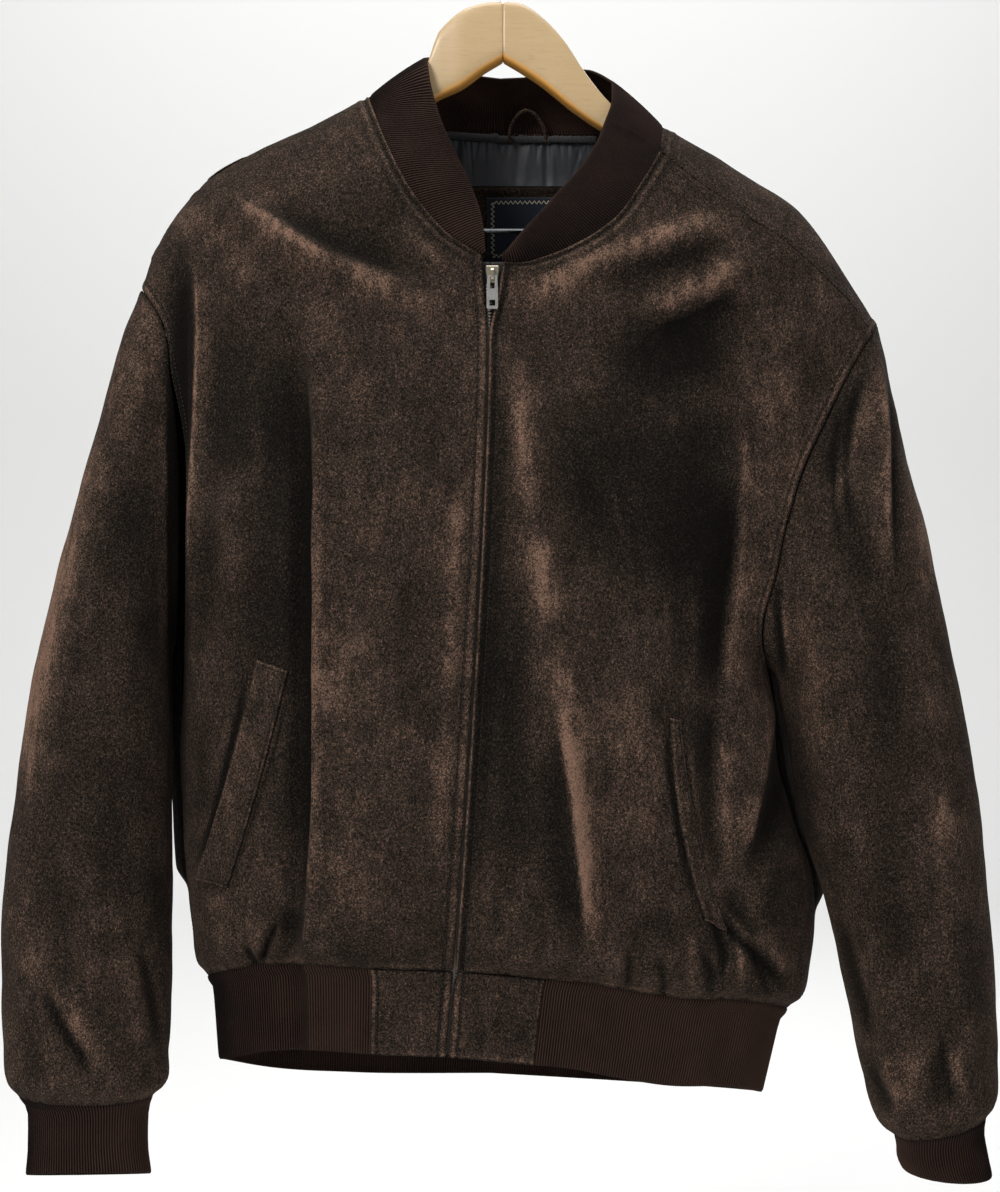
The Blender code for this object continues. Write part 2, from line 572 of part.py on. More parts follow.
def build_cloth():
    cloth = Cloth()
    v = HEIGHTS
    neck_front, neck_back, arm = (list(np.round(v, 6)).index(round(h, 6)) for h in (NECK_FRONT, NECK_BACK, UNDERARM))
    fronts = {side: front_grid(side, ACROSS[side], v) for side in ACROSS}
    backs = {side: back_grid(side, ACROSS[side], v) for side in ACROSS}
    strip = strip_grid(ACROSS["left"], STRIP, fronts["left"][-1])
    strip[-1] = fronts["left"][-1]
    for side, sign in (("right", True), ("left", False)):
        fronts[side][: arm + 1, -1] = backs[side][: arm + 1, -1]
    fronts["right"][-1] = backs["right"][-1]
    backs["right"][: neck_back + 1, 0] = backs["left"][: neck_back + 1, 0]
    for side, sign in (("right", True), ("left", False)):
        cloth.grid("front_" + side, fronts[side], flip=sign)
        cloth.grid("back_" + side, backs[side], flip=not sign)
    cloth.grid("back_left", np.concatenate([backs["left"][-1:], strip]), flip=True)

    # Sleeves and cuffs: each armhole loop runs from the underarm up the front and down the back, and each sleeve is
    # a front and a back piece with seams from the underarm and the shoulder to the cuff.
    for side in ("right", "left"):
        front_run = fronts[side][arm:, -1]
        if side == "left":
            front_run = np.concatenate([front_run, strip[-2::-1, -1], backs["left"][-1:, -1]])
        back_run = backs[side][arm:, -1][::-1]
        loop = np.concatenate([front_run, back_run[1:]])
        angles = ring_angles(front_run, back_run)
        sleeve = tube(SLEEVE[side], SLEEVE_ROWS, angles, loop)
        sleeve[:, -1] = sleeve[:, 0]
        top = len(front_run)
        cloth.grid("sleeve_front_" + side, sleeve[:, :top], flip=side == "left")
        cloth.grid("sleeve_back_" + side, sleeve[:, top - 1 :], flip=side == "left")
        cuff = tube(CUFF[side], np.array([0, 0.14, 0.5, 1]), angles)
        cuff[0] = sleeve[-1]
        cuff[:, -1] = cuff[:, 0]
        cloth.grid("cuff_" + side, cuff, flip=side == "left")

    # Hem band: a tab by the zip on each side, knit from tab to tab.
    def band(top):
        rows = []
        for w in (0, 0.12, 0.55, 1):
            pull = 1 - 0.02 * step(w / 0.15) - 0.045 * w
            middle = np.array([(498 - MIDDLE) * SQUARE, 0, 0])
            at = middle + (top - middle) * [pull, pull, 1] + [HEM_DRIFT * w, 0, -HEM_DROP * w]
            rows.append(at)
        rows = np.array(rows)
        rows[0] = top
        return rows

    for side in ("right", "left"):
        hem = band(fronts[side][0])
        # The zip edge runs straight on down.
        for i, w in enumerate((0, 0.12, 0.55, 1)):
            fade = np.exp(-ACROSS[side] / 0.2)
            hem[i, :, 0] += (fronts[side][0, 0, 0] + HEM_DRIFT * w - hem[i, 0, 0]) * fade
        cloth.grid("hem_tab_" + side, hem[:, : TAB_COLUMN + 1], flip=side == "left")
        cloth.grid("hem_rib", hem[:, TAB_COLUMN:], flip=side == "left")
        rear = band(backs[side][0])
        rear[:, -1] = hem[:, -1]
        fronts[side + "_hem"] = hem
        backs[side + "_hem"] = rear
    backs["right_hem"][:, 0] = backs["left_hem"][:, 0]
    for side in ("right", "left"):
        cloth.grid("hem_rib", backs[side + "_hem"], flip=side == "right")

    # Collar: a band from one front end round the nape to the other.
    def collar(seam, edge, outward_bow):
        rows = []
        for w in (0, 0.3, 0.65, 1):
            at = seam + (edge - seam) * w
            rows.append(at + outward_bow * 4 * w * (1 - w))
        return np.array(rows)

    def share(points):
        run = np.concatenate([[0], np.cumsum(np.linalg.norm(np.diff(points, axis=0), axis=1))])
        return run / run[-1]

    edge_back = {}
    for side in ("right", "left"):
        seam = backs[side][neck_back:, 0]
        edge = lay(*curve(COLLAR_BACK[side], share(seam)).T)
        edge_back[side] = edge
        bow = np.stack([0 * seam[:, 0], 4 - 4 * share(seam), 2 + 0 * seam[:, 0]], -1)
        cloth.grid("collar_rib", collar(seam, edge, bow), flip=side == "left")
        seam = fronts[side][neck_front:, 0]
        edge = lay(*curve(COLLAR_FRONT[side], share(seam)).T)
        if side == "right":
            edge[-1] = edge_back["right"][-1]
        bow = np.stack([0 * seam[:, 0], -3 + 3 * share(seam), 2 * share(seam)], -1)
        if side == "left":
            bow[-1] = [0, -1, 2]
        cloth.grid("collar_rib", collar(seam, edge, bow), flip=side == "right")
    seam = np.concatenate([backs["left"][-1:, 0], strip[:, 0]])
    edge = lay(*curve(COLLAR_OVER_SHOULDER, np.array([0, 1 / 3, 2 / 3, 1])).T)
    bow = np.array([[0, 0, 2], [0, -0.4, 2], [0, -0.7, 2], [0, -1, 2]])
    cloth.grid("collar_rib", collar(seam, edge, bow), flip=True)
    cloth.finish()
    return cloth, fronts, backs


def zip_tape(cloth, side, fronts):
    """Half the zip: a tape behind the front's edge, carried out to the middle of the zip."""
    near, thick = WALL + 0.45, 1.0
    neck_front = list(np.round(HEIGHTS, 6)).index(round(NECK_FRONT, 6))
    body, hem = fronts[side][: neck_front + 1], fronts[side + "_hem"]
    lines = np.concatenate([hem[:0:-1, :2], body[:, :2]])
    outward_x = -1 if side == "right" else 1
    rings = []
    for edge, inside in lines:
        a, b = cloth.points[cloth.point(edge)], cloth.points[cloth.point(inside)]
        na, nb = cloth.inward[cloth.point(edge)], cloth.inward[cloth.point(inside)]
        k = (EYE + a[1]) / FACE
        row = LEVEL - (a[2] + 530) / SQUARE / k
        x = (curve(ZIP_LINE, row)[0] - MIDDLE) * SQUARE * k + outward_x * 0.3
        z = np.array([x, a[1], a[2]])
        back = np.array([0, 1, 0])
        ring = [z + back * near, a + na * near, b + nb * near, b + nb * (near + thick), a + na * (near + thick), z + back * (near + thick)]
        rings.append(ring)
    return block("zip_tape_" + side, rings)


def neck_inside(cloth):
    tree = BVHTree.FromPolygons([Vector(p) for p in cloth.points], cloth.pieces["back_right"] + cloth.pieces["back_left"])

    seam = sorted(row[1:] for side in ("right", "left") for row in BACK_INNER[side][2:])

    def grid(left, right, top, bottom, across, down):
        """top and bottom are rows where the cloth is flat, or counts of squares below the neck seam if under 60."""
        c = np.linspace(left, right, across + 1)[None] + np.zeros((down + 1, 1))
        line = np.interp(c, *np.array(seam).T)
        t, b = (line + at if at < 60 else at + 0 * c for at in (top, bottom))
        return c, t + (b - t) * np.linspace(0, 1, down + 1)[:, None]

    inner = WALL + 0.5
    sheet_on("neck_piping", tree, *grid(440, 598, 2.5, 13, 16, 1), inner + 0.3, 2.0, back=True)
    sheet_on("neck_lining", tree, *grid(440, 600, 14, 186, 14, 3), inner, 1.0, back=True)
    sheet_on("back_facing", tree, *grid(440, 600, 187.5, 290, 14, 5), inner, 1.2, back=True)
    sheet_on("neck_label", tree, *grid(487, 562, 198, 262, 6, 4), inner + 1.2 + 0.6, 0.7, back=True)
    foot = lay(np.array([510, 509.5, 514, 520, 526, 533, 540, 545.5, 545]), np.array([143, 134, 121, 113, 110.5, 113, 121, 133, 142]),
               np.array([56, 52, 46, 43, 42, 43, 46, 52, 56]) - 0.9)
    wire("hanging_loop", foot, 1.5, sides=1)


def welts(cloth):
    for side, corners in (
        ("right", [(265, 658), (288, 670), (226, 887), (198, 876)]),
        ("left", [(669, 718), (681, 720), (727, 932), (704, 920)]),
    ):
        tree = BVHTree.FromPolygons([Vector(p) for p in cloth.points], cloth.pieces["front_" + side])
        a, b, c, d = (np.array(p, float) for p in corners)
        w, u = np.linspace(0, 1, 13)[:, None, None], np.linspace(0, 1, 5)[None, :, None]
        at = (1 - w) * ((1 - u) * a + u * b) + w * ((1 - u) * d + u * c)
        bend = (3 if side == "right" else -8) * 4 * w[..., 0] * (1 - w[..., 0])
        sheet_on("pocket_welt_" + side, tree, at[..., 0] + bend, at[..., 1], 1.0, 1.1)


def hanger():
    """Two mitred halves, a wire hook and a steel bar."""
    # distance from the middle: top and bottom rows, front face, thickness
    halves = {
        "right": [(0, 0, 57, -13, 23), (20, 1.5, 69, -13, 23), (43, 10, 86, -13.5, 22), (58, 23, 93, -12.5, 19), (66, 33, 97, -12, 18),
                  (71, 47, 100, -11.5, 17.5), (75, 60, 103, -11.5, 17.5), (82, 71, 107, -11.5, 17.5), (103, 91, 118, -12, 17), (134, 107, 133, -13, 17), (187, 132, 157, -12, 16),
                  (249, 163, 186, -10.5, 15), (285, 189, 206, -9, 14), (297, 199, 209, -8.5, 13)],
        "left": [(0, 0, 57, -13, 23), (20, 2.5, 69, -13, 23), (44, 20, 86, -13.5, 22), (64, 43, 103, -14, 21), (80, 68, 115, -14, 20),
                 (106, 101, 132, -14, 19), (130, 120, 147, -14, 18), (158, 138, 163, -13, 17), (202, 162, 186, -12, 16),
                 (252, 192, 214, -10.5, 15), (286, 216, 233, -9, 14), (297, 225, 236, -8.5, 13)],
    }
    made = []
    for side, table in halves.items():
        sign = -1 if side == "right" else 1
        rings = []
        table = np.array(table, float)
        places = np.array([0, 20, 43, 58, 66, 71, 76, 83, 103, 134, 187, 249, 285, 297])
        values = curve(table, places)
        for away, (top, bottom, front, thick) in zip(places, values):
            x = sign * (away * SQUARE * (EYE - 12) / FACE + (0.15 if away == 0 else 0))
            zt, zb = (-530 - (r - LEVEL) * SQUARE * (EYE - 12) / FACE for r in (top, bottom))
            rings.append([(x, front, zb), (x, front, zt), (x, front + thick, zt), (x, front + thick, zb)])
        obj = block("hanger_" + side, rings)
        bevel = obj.modifiers.new("soft_edges", "BEVEL")
        bevel.width = 0.003
        bevel.segments = 2
        bevel.limit_method = "ANGLE"
        bevel.angle_limit = math.radians(50)
        made.append(obj)
    apex = -530 + LEVEL * SQUARE * (EYE - 12) / FACE
    shank_y = 0.0
    hole = rod_tool("hook_hole", 0, shank_y, apex - 24, apex + 5, 2.3)
    for obj in made:
        cut(obj, hole)
    # The hook: up from the wood, round and over, its inner top at the origin.
    radius, r = 21.0, 1.9
    centre = -radius
    turn = [
        (radius * math.sin(a) + r * math.sin(a), shank_y, centre + (radius + r) * math.cos(a))
        for a in np.radians(np.linspace(-152, 118, 28))
    ]
    neck = [(0, shank_y, apex - 22), (0, shank_y, apex + 4), (-0.8, shank_y, apex + 9), (-3.2, shank_y, apex + 14)]
    wire("hanger_hook", [p for p in neck if p[2] < turn[0][2] - 3] + turn, r, sides=2)
    # The bar: a straight rod under both halves, its ends turned up into the wood.
    span, z_bar = 198, -530 - (231 - LEVEL) * SQUARE * (EYE - 5) / FACE
    ends = []
    for sign, top_row in ((-1, 180), (1, 207)):
        z_top = -530 - (top_row - LEVEL) * SQUARE * (EYE - 5) / FACE
        ends.append([(sign * span, -5, z_top), (sign * span, -5, z_bar + 5), (sign * (span - 1.5), -5, z_bar + 1.5), (sign * (span - 5), -5, z_bar)])
        hole = rod_tool("bar_hole_" + ("right" if sign < 0 else "left"), sign * span, -5, z_bar, z_top + 1.5, 2.5)
        cut(made[0 if sign < 0 else 1], hole)
    wire("hanger_bar", ends[0] + ends[1][::-1], 2.0, sides=2)


def zip_metal(cloth, fronts):
    """Slider at the top of the zip, and the pull that hangs from its bridge."""
    front_y = min(fronts["right"][list(np.round(HEIGHTS, 6)).index(round(NECK_FRONT, 6)), 0, 1], 0)
    k = (EYE + front_y) / FACE
    x = (492.3 - MIDDLE) * SQUARE * k
    z = -530 - (275 - LEVEL) * SQUARE * k
    y = front_y - 2.1
    body = block("zip_slider", [
        [(x - w, yy, zz) for w, yy in ((-a, y - 1.2), (a, y - 1.2), (a, y + 1.2), (-a, y + 1.2))]
        for zz, a in ((z - 6.5, 3.6), (z - 2, 4.2), (z + 3, 5.0), (z + 6.5, 5.0))
    ])
    bevel = body.modifiers.new("soft_edges", "BEVEL")
    bevel.width, bevel.segments, bevel.limit_method = 0.0006, 1, "ANGLE"
    face = y - 1.2
    arch = block("bridge", [
        [(x - 1.1, yy, zz), (x + 1.1, yy, zz), (x + 1.1, yo, zo), (x - 1.1, yo, zo)]
        for (yy, zz), (yo, zo) in (
            ((face + 0.6, z - 2.6), (face + 0.6, z - 4.4)), ((face - 1.9, z - 2.6), (face - 2.2, z - 4.2)),
            ((face - 2.3, z - 1.8), (face - 3.6, z - 2.6)), ((face - 2.3, z + 1.8), (face - 3.6, z + 2.6)),
            ((face - 1.9, z + 2.6), (face - 2.2, z + 4.2)), ((face + 0.6, z + 2.6), (face + 0.6, z + 4.4)),
        )
    ], tool=True)
    join = body.modifiers.new("bridge", "BOOLEAN")
    join.operation, join.solver, join.object = "UNION", "EXACT", arch
    # The pull hangs from its cross bar, which lies under the bridge, and leans on the cloth below. Its origin is on
    # the cross bar's axis.
    axis = np.array([x, face - 1.15, z - 1.6])
    lean = math.radians(-PULL_LEAN)
    pull = block("zip_pull", [
        [(x - w, axis[1] - 0.6, zz), (x + w, axis[1] - 0.6, zz), (x + w, axis[1] + 0.6, zz), (x - w, axis[1] + 0.6, zz)]
        for zz, w in ((axis[2] - 25, 3.6), (axis[2] - 24, 4.2), (axis[2] - 10, 4.2), (axis[2], 3.6), (axis[2] + 0.7, 3.2))
    ], origin=axis)
    pull.rotation_euler = (lean, 0, 0)
    cut(pull, box_tool("pull_slot", axis + [-1.75, -3, -9.5], axis + [1.75, 3, -0.7], lean, axis))
    cut(pull, box_tool("pull_hole", axis + [-2.2, -3, -22.6], axis + [2.2, 3, -18.2], lean, axis))


def main():
    for obj in list(bpy.data.objects):
        bpy.data.objects.remove(obj)
    cloth, fronts, backs = build_cloth()
    for piece in cloth.pieces:
        cloth.wall(piece, gap=0.27 if piece.startswith("sleeve") else GAP)
    for side in ("right", "left"):
        zip_tape(cloth, side, fronts)
    welts(cloth)
    neck_inside(cloth)
    hanger()
    zip_metal(cloth, fronts)


main()
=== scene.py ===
"""Looks of a brown suede bomber jacket on its wooden hanger.

Lengths in the cloth's own working are millimetres; make() writes metres. X runs to the wearer's left, Y to the back
and Z up, and the origin is where a rail bears inside the hook. Left and right are the wearer's.
"""

import math

import bmesh
import bpy
import numpy as np
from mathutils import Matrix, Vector
from mathutils.bvhtree import BVHTree


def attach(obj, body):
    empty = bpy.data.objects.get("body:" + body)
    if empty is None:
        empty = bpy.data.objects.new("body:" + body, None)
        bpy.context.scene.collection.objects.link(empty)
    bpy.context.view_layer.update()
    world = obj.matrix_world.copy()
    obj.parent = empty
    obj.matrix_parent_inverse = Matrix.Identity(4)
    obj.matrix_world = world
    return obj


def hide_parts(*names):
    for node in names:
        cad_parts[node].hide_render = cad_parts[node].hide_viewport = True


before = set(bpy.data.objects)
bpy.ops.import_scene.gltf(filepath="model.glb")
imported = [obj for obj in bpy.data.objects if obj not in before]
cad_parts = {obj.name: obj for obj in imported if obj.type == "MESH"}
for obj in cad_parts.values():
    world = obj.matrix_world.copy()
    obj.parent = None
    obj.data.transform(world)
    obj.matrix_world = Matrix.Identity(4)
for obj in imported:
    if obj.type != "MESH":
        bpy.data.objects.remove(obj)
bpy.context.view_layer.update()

JACKET = "jacket"
SIDES = ("right", "left")
SHELL = 1.3  # thickness of the shown cloth


# ---------------------------------------------------------------- the pattern of the jacket

SQUARE = 0.75  # one square of the elevation
MIDDLE, LEVEL = 503, 596  # its column on the hanger's centre line, its row at eye level
EYE, EYE_HEIGHT = 1400, -530  # the elevation is drawn as seen from this far, at this height
FACE = 1340  # where a square is full size

UNDERARM, NECK_FRONT, NECK_BACK = 0.373, 0.72, 0.87  # heights up a panel, hem 0 to shoulder 1
TAB_EDGE = {"right": 0.333, "left": 0.264}  # share of a front above the hem band's suede tab

# Each table: place along the line, column, row.
ZIP_LINE = [(240, 491.5), (270, 490), (400, 487), (600, 478), (770, 468), (960, 455), (1060, 447.5)]  # row, column
FRONT_INNER = {
    "right": [
        (0, 450, 972), (0.18, 463.5, 793), (0.36, 475, 613), (0.54, 482.5, 433), (0.66, 485.5, 314), (0.72, 482, 254),
        (0.7395, 470, 247), (0.775, 449, 233), (0.8176, 428, 211), (0.8628, 409, 185), (0.9106, 393, 155),
        (0.9639, 378, 120), (1, 369, 97),
    ],
    "left": [
        (0, 458, 972), (0.18, 471.5, 794), (0.36, 483, 616), (0.54, 490.5, 439), (0.66, 494.5, 320), (0.72, 503, 261),
        (0.7433, 520, 262), (0.7786, 545, 256), (0.8156, 570, 246), (0.855, 595, 232), (0.8959, 618, 213),
        (0.9382, 636, 188), (0.974, 650, 166), (1, 660, 150),
    ],
}
SIDE = {
    "right": [(0, 207, 976), (0.022, 198, 956), (0.055, 192, 926), (0.1, 188, 886), (0.15, 184, 841), (0.2, 181, 796),
              (0.25, 180, 751), (0.31, 179.5, 697), (0.345, 179, 666), (0.373, 177, 640)],
    "left": [(0, 788, 1009), (0.022, 801, 988), (0.055, 810, 958), (0.1, 815, 917), (0.15, 811, 871), (0.2, 796, 826),
             (0.25, 785, 780), (0.31, 775, 725), (0.345, 769, 692), (0.373, 766, 667)],
}
FRONT_ARMHOLE = {
    "right": [(0.373, 177, 640), (0.478, 179, 580), (0.585, 180, 519), (0.688, 179, 460), (0.7765, 175, 410),
              (0.8436, 170, 372), (0.889, 168, 346), (0.928, 163, 325), (0.9655, 153, 306), (1, 141, 290)],
    "left": [(0.373, 766, 667), (0.4228, 762, 639), (0.4723, 765, 611), (0.539, 775, 575), (0.6396, 788, 519),
             (0.7443, 807, 463), (0.8286, 827, 420), (0.9169, 849, 374), (1, 873, 334)],
}
BACK_ARMHOLE = {
    "right": [(0.373, 177, 640), (0.4696, 184, 585), (0.578, 188, 523), (0.695, 187, 456), (0.8107, 180, 390),
              (0.9098, 166, 335), (0.966, 152, 306), (1, 141, 290)],
    "left": [(0.373, 766, 667), (0.4587, 780, 620), (0.5429, 797, 575), (0.6443, 812, 519), (0.7471, 830, 463),
             (0.8267, 845, 420), (0.9113, 860, 374), (1, 879, 327)],
}
BACK_INNER = {
    "right": [(0, 498, 992), (0.4, 503, 620), (0.87, 509, 133), (0.899, 475, 132), (0.929, 440, 129),
              (0.9554, 410, 123), (0.9794, 385, 112), (1, 369, 97)],
    "left": [(0, 498, 992), (0.4, 503, 620), (0.87, 509, 133), (0.9, 545, 134), (0.929, 580, 134),
             (0.956, 612, 133), (0.979, 640, 131), (0.992, 655, 130), (1, 664, 128)],
}
RIDGE = {  # the top line of the shoulders, carried on to the middle
    "right": [(0, 369, 97), (0.2325, 316, 122), (0.504, 254, 152), (0.7237, 205, 182), (0.833, 180, 211),
              (0.9167, 161, 240), (0.969, 148, 267), (1, 141, 290)],
    "left": [(0, 664, 128), (0.19, 705, 151), (0.423, 754, 181), (0.628, 798, 212), (0.74, 822, 241),
             (0.833, 842, 270), (0.926, 863, 301), (1, 879, 327)],
}
RIDGE_INWARD = {"right": [(503, 50), (430, 68), (369, 97)], "left": [(503, 50), (600, 86), (664, 128)]}
LEFT_SHOULDER_SEAM = [(0, 660, 150), (0.164, 695, 178), (0.338, 732, 205), (0.526, 772, 231), (0.629, 794, 248),
                      (0.779, 826, 277), (0.911, 854, 306), (1, 873, 334)]
FRONT_HEM = {
    "right": [(0, 450, 972), (0.333, 369, 969), (0.621, 299, 965), (0.794, 257, 967), (0.926, 225, 973), (1, 207, 976)],
    "left": [(0, 458, 972), (0.233, 535, 979), (0.394, 588, 984), (0.518, 629, 992), (0.697, 688, 1001),
             (0.89, 752, 1003), (0.96, 775, 1006), (1, 788, 1009)],
}
BACK_HEM = {
    "right": [(0, 498, 992), (0.5, 352, 991), (0.85, 251, 984), (1, 207, 976)],
    "left": [(0, 498, 992), (0.5, 643, 1000), (0.85, 745, 1006), (1, 788, 1009)],
}
# height, depth in front of the shoulder line, depth behind it
DEPTH = [(0, 68, 60), (0.022, 82, 74), (0.055, 92, 82), (0.1, 97, 86), (0.2, 99, 88), (0.373, 95, 86), (0.55, 85, 82),
         (0.72, 68, 76), (0.87, 61, 68), (1, 56, 62)]
SHOULDER_REACH = 95  # the shoulders round off over this drop
# height, squares from the armhole out to where the panel would close, exponent of its section: front, then back
CLOSING = {
    "right": [(0, 0, 2.6, 0, 2.6), (0.373, 0, 3, 0, 2.6), (0.45, 1.2, 4, 8, 2.6), (0.6, 2, 4.5, 14, 2.6),
              (0.75, 3, 4.5, 22, 2.6), (0.88, 12, 3.4, 30, 2.6), (1, 30, 2.6, 30, 2.6)],
    "left": [(0, 0, 2.6, 0, 2.6), (0.373, 0, 2.6, 0, 2.6), (0.45, 14, 2.5, 8, 2.6), (0.6, 36, 2.4, 14, 2.6),
             (0.75, 40, 2.4, 22, 2.6), (0.88, 40, 2.4, 30, 2.6), (1, 40, 2.4, 30, 2.6)],
}
# place along the sleeve, outer column and row, inner column and row, half depth, middle depth, hold of the armhole
SLEEVE = {
    "right": [
        (0, 141, 290, 177, 640, 46, 0, 1), (0.035, 133, 312, 174.5, 644, 54, -3, 0.3),
        (0.09, 121, 350, 172, 655, 58, -6, 0.05), (0.16, 106, 405, 171, 680, 60, -9, 0),
        (0.26, 87, 478, 171, 715, 60, -13, 0), (0.38, 61, 575, 172, 765, 59, -17, 0),
        (0.5, 38, 670, 171, 818, 57, -20, 0), (0.62, 21, 765, 171, 872, 55, -23, 0),
        (0.74, 8, 865, 171, 930, 53, -26, 0), (0.86, 4, 965, 170, 995, 50, -29, 0),
        (0.94, 5, 1035, 168, 1046, 47, -31, 0), (0.98, 9, 1072, 164, 1078, 42, -32, 0),
        (1, 19, 1094, 153, 1094, 33, -33, 0),
    ],
    "left": [
        (0, 878, 330, 766, 667, 46, 0, 1), (0.035, 884, 352, 771, 670, 50, -3, 0.8),
        (0.09, 892, 390, 777, 679, 55, -6, 0.4), (0.16, 902, 445, 781, 702, 59, -9, 0.1),
        (0.26, 921, 520, 788, 735, 60, -13, 0), (0.38, 942, 610, 795, 785, 59, -17, 0),
        (0.5, 960, 700, 805, 835, 57, -20, 0), (0.62, 975, 790, 823, 890, 55, -23, 0),
        (0.74, 984, 885, 838, 950, 53, -26, 0), (0.86, 992, 980, 853, 1020, 50, -29, 0),
        (0.94, 996, 1050, 864, 1075, 47, -31, 0), (0.98, 994, 1090, 876, 1112, 42, -32, 0),
        (1, 985, 1113, 895, 1134, 33, -33, 0),
    ],
}
# place along the cuff, outer column and row, inner column and row, half depth, middle depth, rise of its front
CUFF = {
    "right": [
        (0, 19, 1094, 153, 1094, 33, -33, 0), (0.14, 26, 1104, 149, 1104, 28, -33, 2),
        (0.5, 28, 1138, 147, 1138, 26, -34, 5), (1, 26, 1175, 151, 1173, 27, -35, 9),
    ],
    "left": [
        (0, 985, 1113, 895, 1134, 33, -33, 0), (0.14, 983, 1125, 897, 1142, 28, -33, 0),
        (0.5, 986, 1150, 898, 1156, 27, -34, 0), (1, 991, 1174, 904, 1170, 28, -35, 0),
    ],
}
HEM_DROP, HEM_DRIFT = 65, -5.5  # the hem band's height, and its lean to the wearer's right
HEM_MIDDLE = 498  # the column about which it draws in
# Free edge of the collar: place from the front end or the nape to the shoulder line, column, row, depth.
COLLAR_FRONT = {
    "right": [
        (0, 486, 249, -72), (0.07, 485, 236, -71), (0.196, 481, 212, -67), (0.35, 472, 186, -60),
        (0.51, 461, 162, -52), (0.68, 449, 137, -42), (0.83, 437, 106, -31), (0.9, 430, 80, -24),
        (0.935, 427.5, 63, -18), (0.97, 426.5, 59, -11), (1, 426, 57, -2),
    ],
    "left": [
        (0, 505, 250, -72), (0.083, 513, 241, -71), (0.21, 526, 226, -68), (0.34, 541, 210, -64),
        (0.48, 556, 193, -58), (0.63, 571, 177, -52), (0.78, 587, 157, -45), (0.907, 598, 138, -37),
        (1, 605, 120, -29),
    ],
}
COLLAR_BACK = {
    "right": [(0, 500, 78, 48), (0.3, 478, 75, 44), (0.6, 455, 69, 34), (0.85, 430, 57, 15), (1, 426, 57, -2)],
    "left": [(0, 500, 78, 48), (0.3, 535, 76, 45), (0.55, 565, 71, 38), (0.8, 592, 70, 22), (1, 612, 81, 0)],
}
COLLAR_OVER_SHOULDER = [(0, 612, 81, 0), (1 / 3, 612, 91, -10), (2 / 3, 611, 104, -20), (1, 605, 120, -29)]

# Long folds of the fronts: row, column down each.
STEP_FOLD = [(200, 296), (333, 301), (362, 307), (412, 310), (479, 311), (600, 311), (728, 311), (830, 309),
             (919, 303), (980, 299)]
ROLL_VALLEY = [(250, 741), (480, 740), (620, 731), (718, 721), (804, 720), (874, 727), (960, 742)]
CHEST_RIDGE = [(330, 528), (430, 531), (580, 541), (696, 560), (855, 576), (976, 589)]


def curve(table, at):
    """Smooth values of the table's later columns at places along its first."""
    table = np.array(table, float)
    x, y = table[:, 0], table[:, 1:]
    slope = np.gradient(y, x, axis=0)
    at = np.clip(np.asarray(at, float), x[0], x[-1])
    i = np.clip(np.searchsorted(x, at, side="right") - 1, 0, len(x) - 2)
    h = (x[i + 1] - x[i])[..., None]
    t = ((at - x[i])[..., None]) / h
    return (
        (2 * t**3 - 3 * t**2 + 1) * y[i]
        + (t**3 - 2 * t**2 + t) * h * slope[i]
        + (3 * t**2 - 2 * t**3) * y[i + 1]
        + (t**3 - t**2) * h * slope[i + 1]
    )


def lay(column, row, depth):
    """A point of the elevation in space, once its depth is known."""
    k = (EYE + depth) / FACE
    x = (column - MIDDLE) * SQUARE * k
    z = EYE_HEIGHT - (row - LEVEL) * SQUARE * k
    return np.stack(np.broadcast_arrays(x, depth, z), -1)


def elevation(points):
    """The column and row at which points in space are seen, and the scale there."""
    k = (EYE + points[..., 1]) / FACE
    return MIDDLE + points[..., 0] / SQUARE / k, LEVEL - (points[..., 2] - EYE_HEIGHT) / SQUARE / k, k


def step(x):
    x = np.clip(x, 0, 1)
    return x * x * (3 - 2 * x)


def bell(x):
    return np.exp(-x * x)


def run_of(points, axis=0):
    """Distance run along a grid's rows or columns."""
    leg = np.linalg.norm(np.diff(points, axis=axis), axis=-1)
    start = np.zeros_like(np.take(leg, [0], axis=axis))
    return np.concatenate([start, np.cumsum(leg, axis=axis)], axis=axis)


def share_of(points):
    """The same from 0 to 1."""
    run = run_of(points)
    return run / run[-1]


def at_run(run, values, places):
    """Values of a line at given distances along it."""
    values = np.asarray(values, float)
    flat = values.reshape(len(values), -1)
    out = np.stack([np.interp(places, run, flat[:, k]) for k in range(flat.shape[1])], -1)
    return out.reshape((len(places),) + values.shape[1:])


def patch(bottom, top, inner, outer, s, v):
    """Columns and rows between four boundary lines."""
    s, v = s[None, :, None], v[:, None, None]
    corners = (
        (1 - s) * (1 - v) * inner[0] + s * (1 - v) * outer[0] + (1 - s) * v * inner[-1] + s * v * outer[-1]
    )
    return (1 - v) * bottom[None] + v * top[None] + (1 - s) * inner[:, None] + s * outer[:, None] - corners


def outer_line(side, armhole, v):
    return np.where((v <= UNDERARM)[:, None], curve(SIDE[side], v), curve(armhole[side], v))


def inner_line(table, corner, v):
    """Like curve(), but with a corner kept sharp."""
    i = [row[0] for row in table].index(corner)
    return np.where((v <= corner)[:, None], curve(table[: i + 1], v), curve(table[i:], v))


def drop_below_ridge(side, column, row):
    inward = np.array(RIDGE_INWARD[side], float)
    ridge = np.array(RIDGE[side], float)
    columns = np.concatenate([inward[:-1, 0], ridge[:, 1]])
    rows = np.concatenate([inward[:-1, 1], ridge[:, 2]])
    order = np.argsort(columns)
    return np.maximum(0, row - np.interp(column, columns[order], rows[order])) * SQUARE


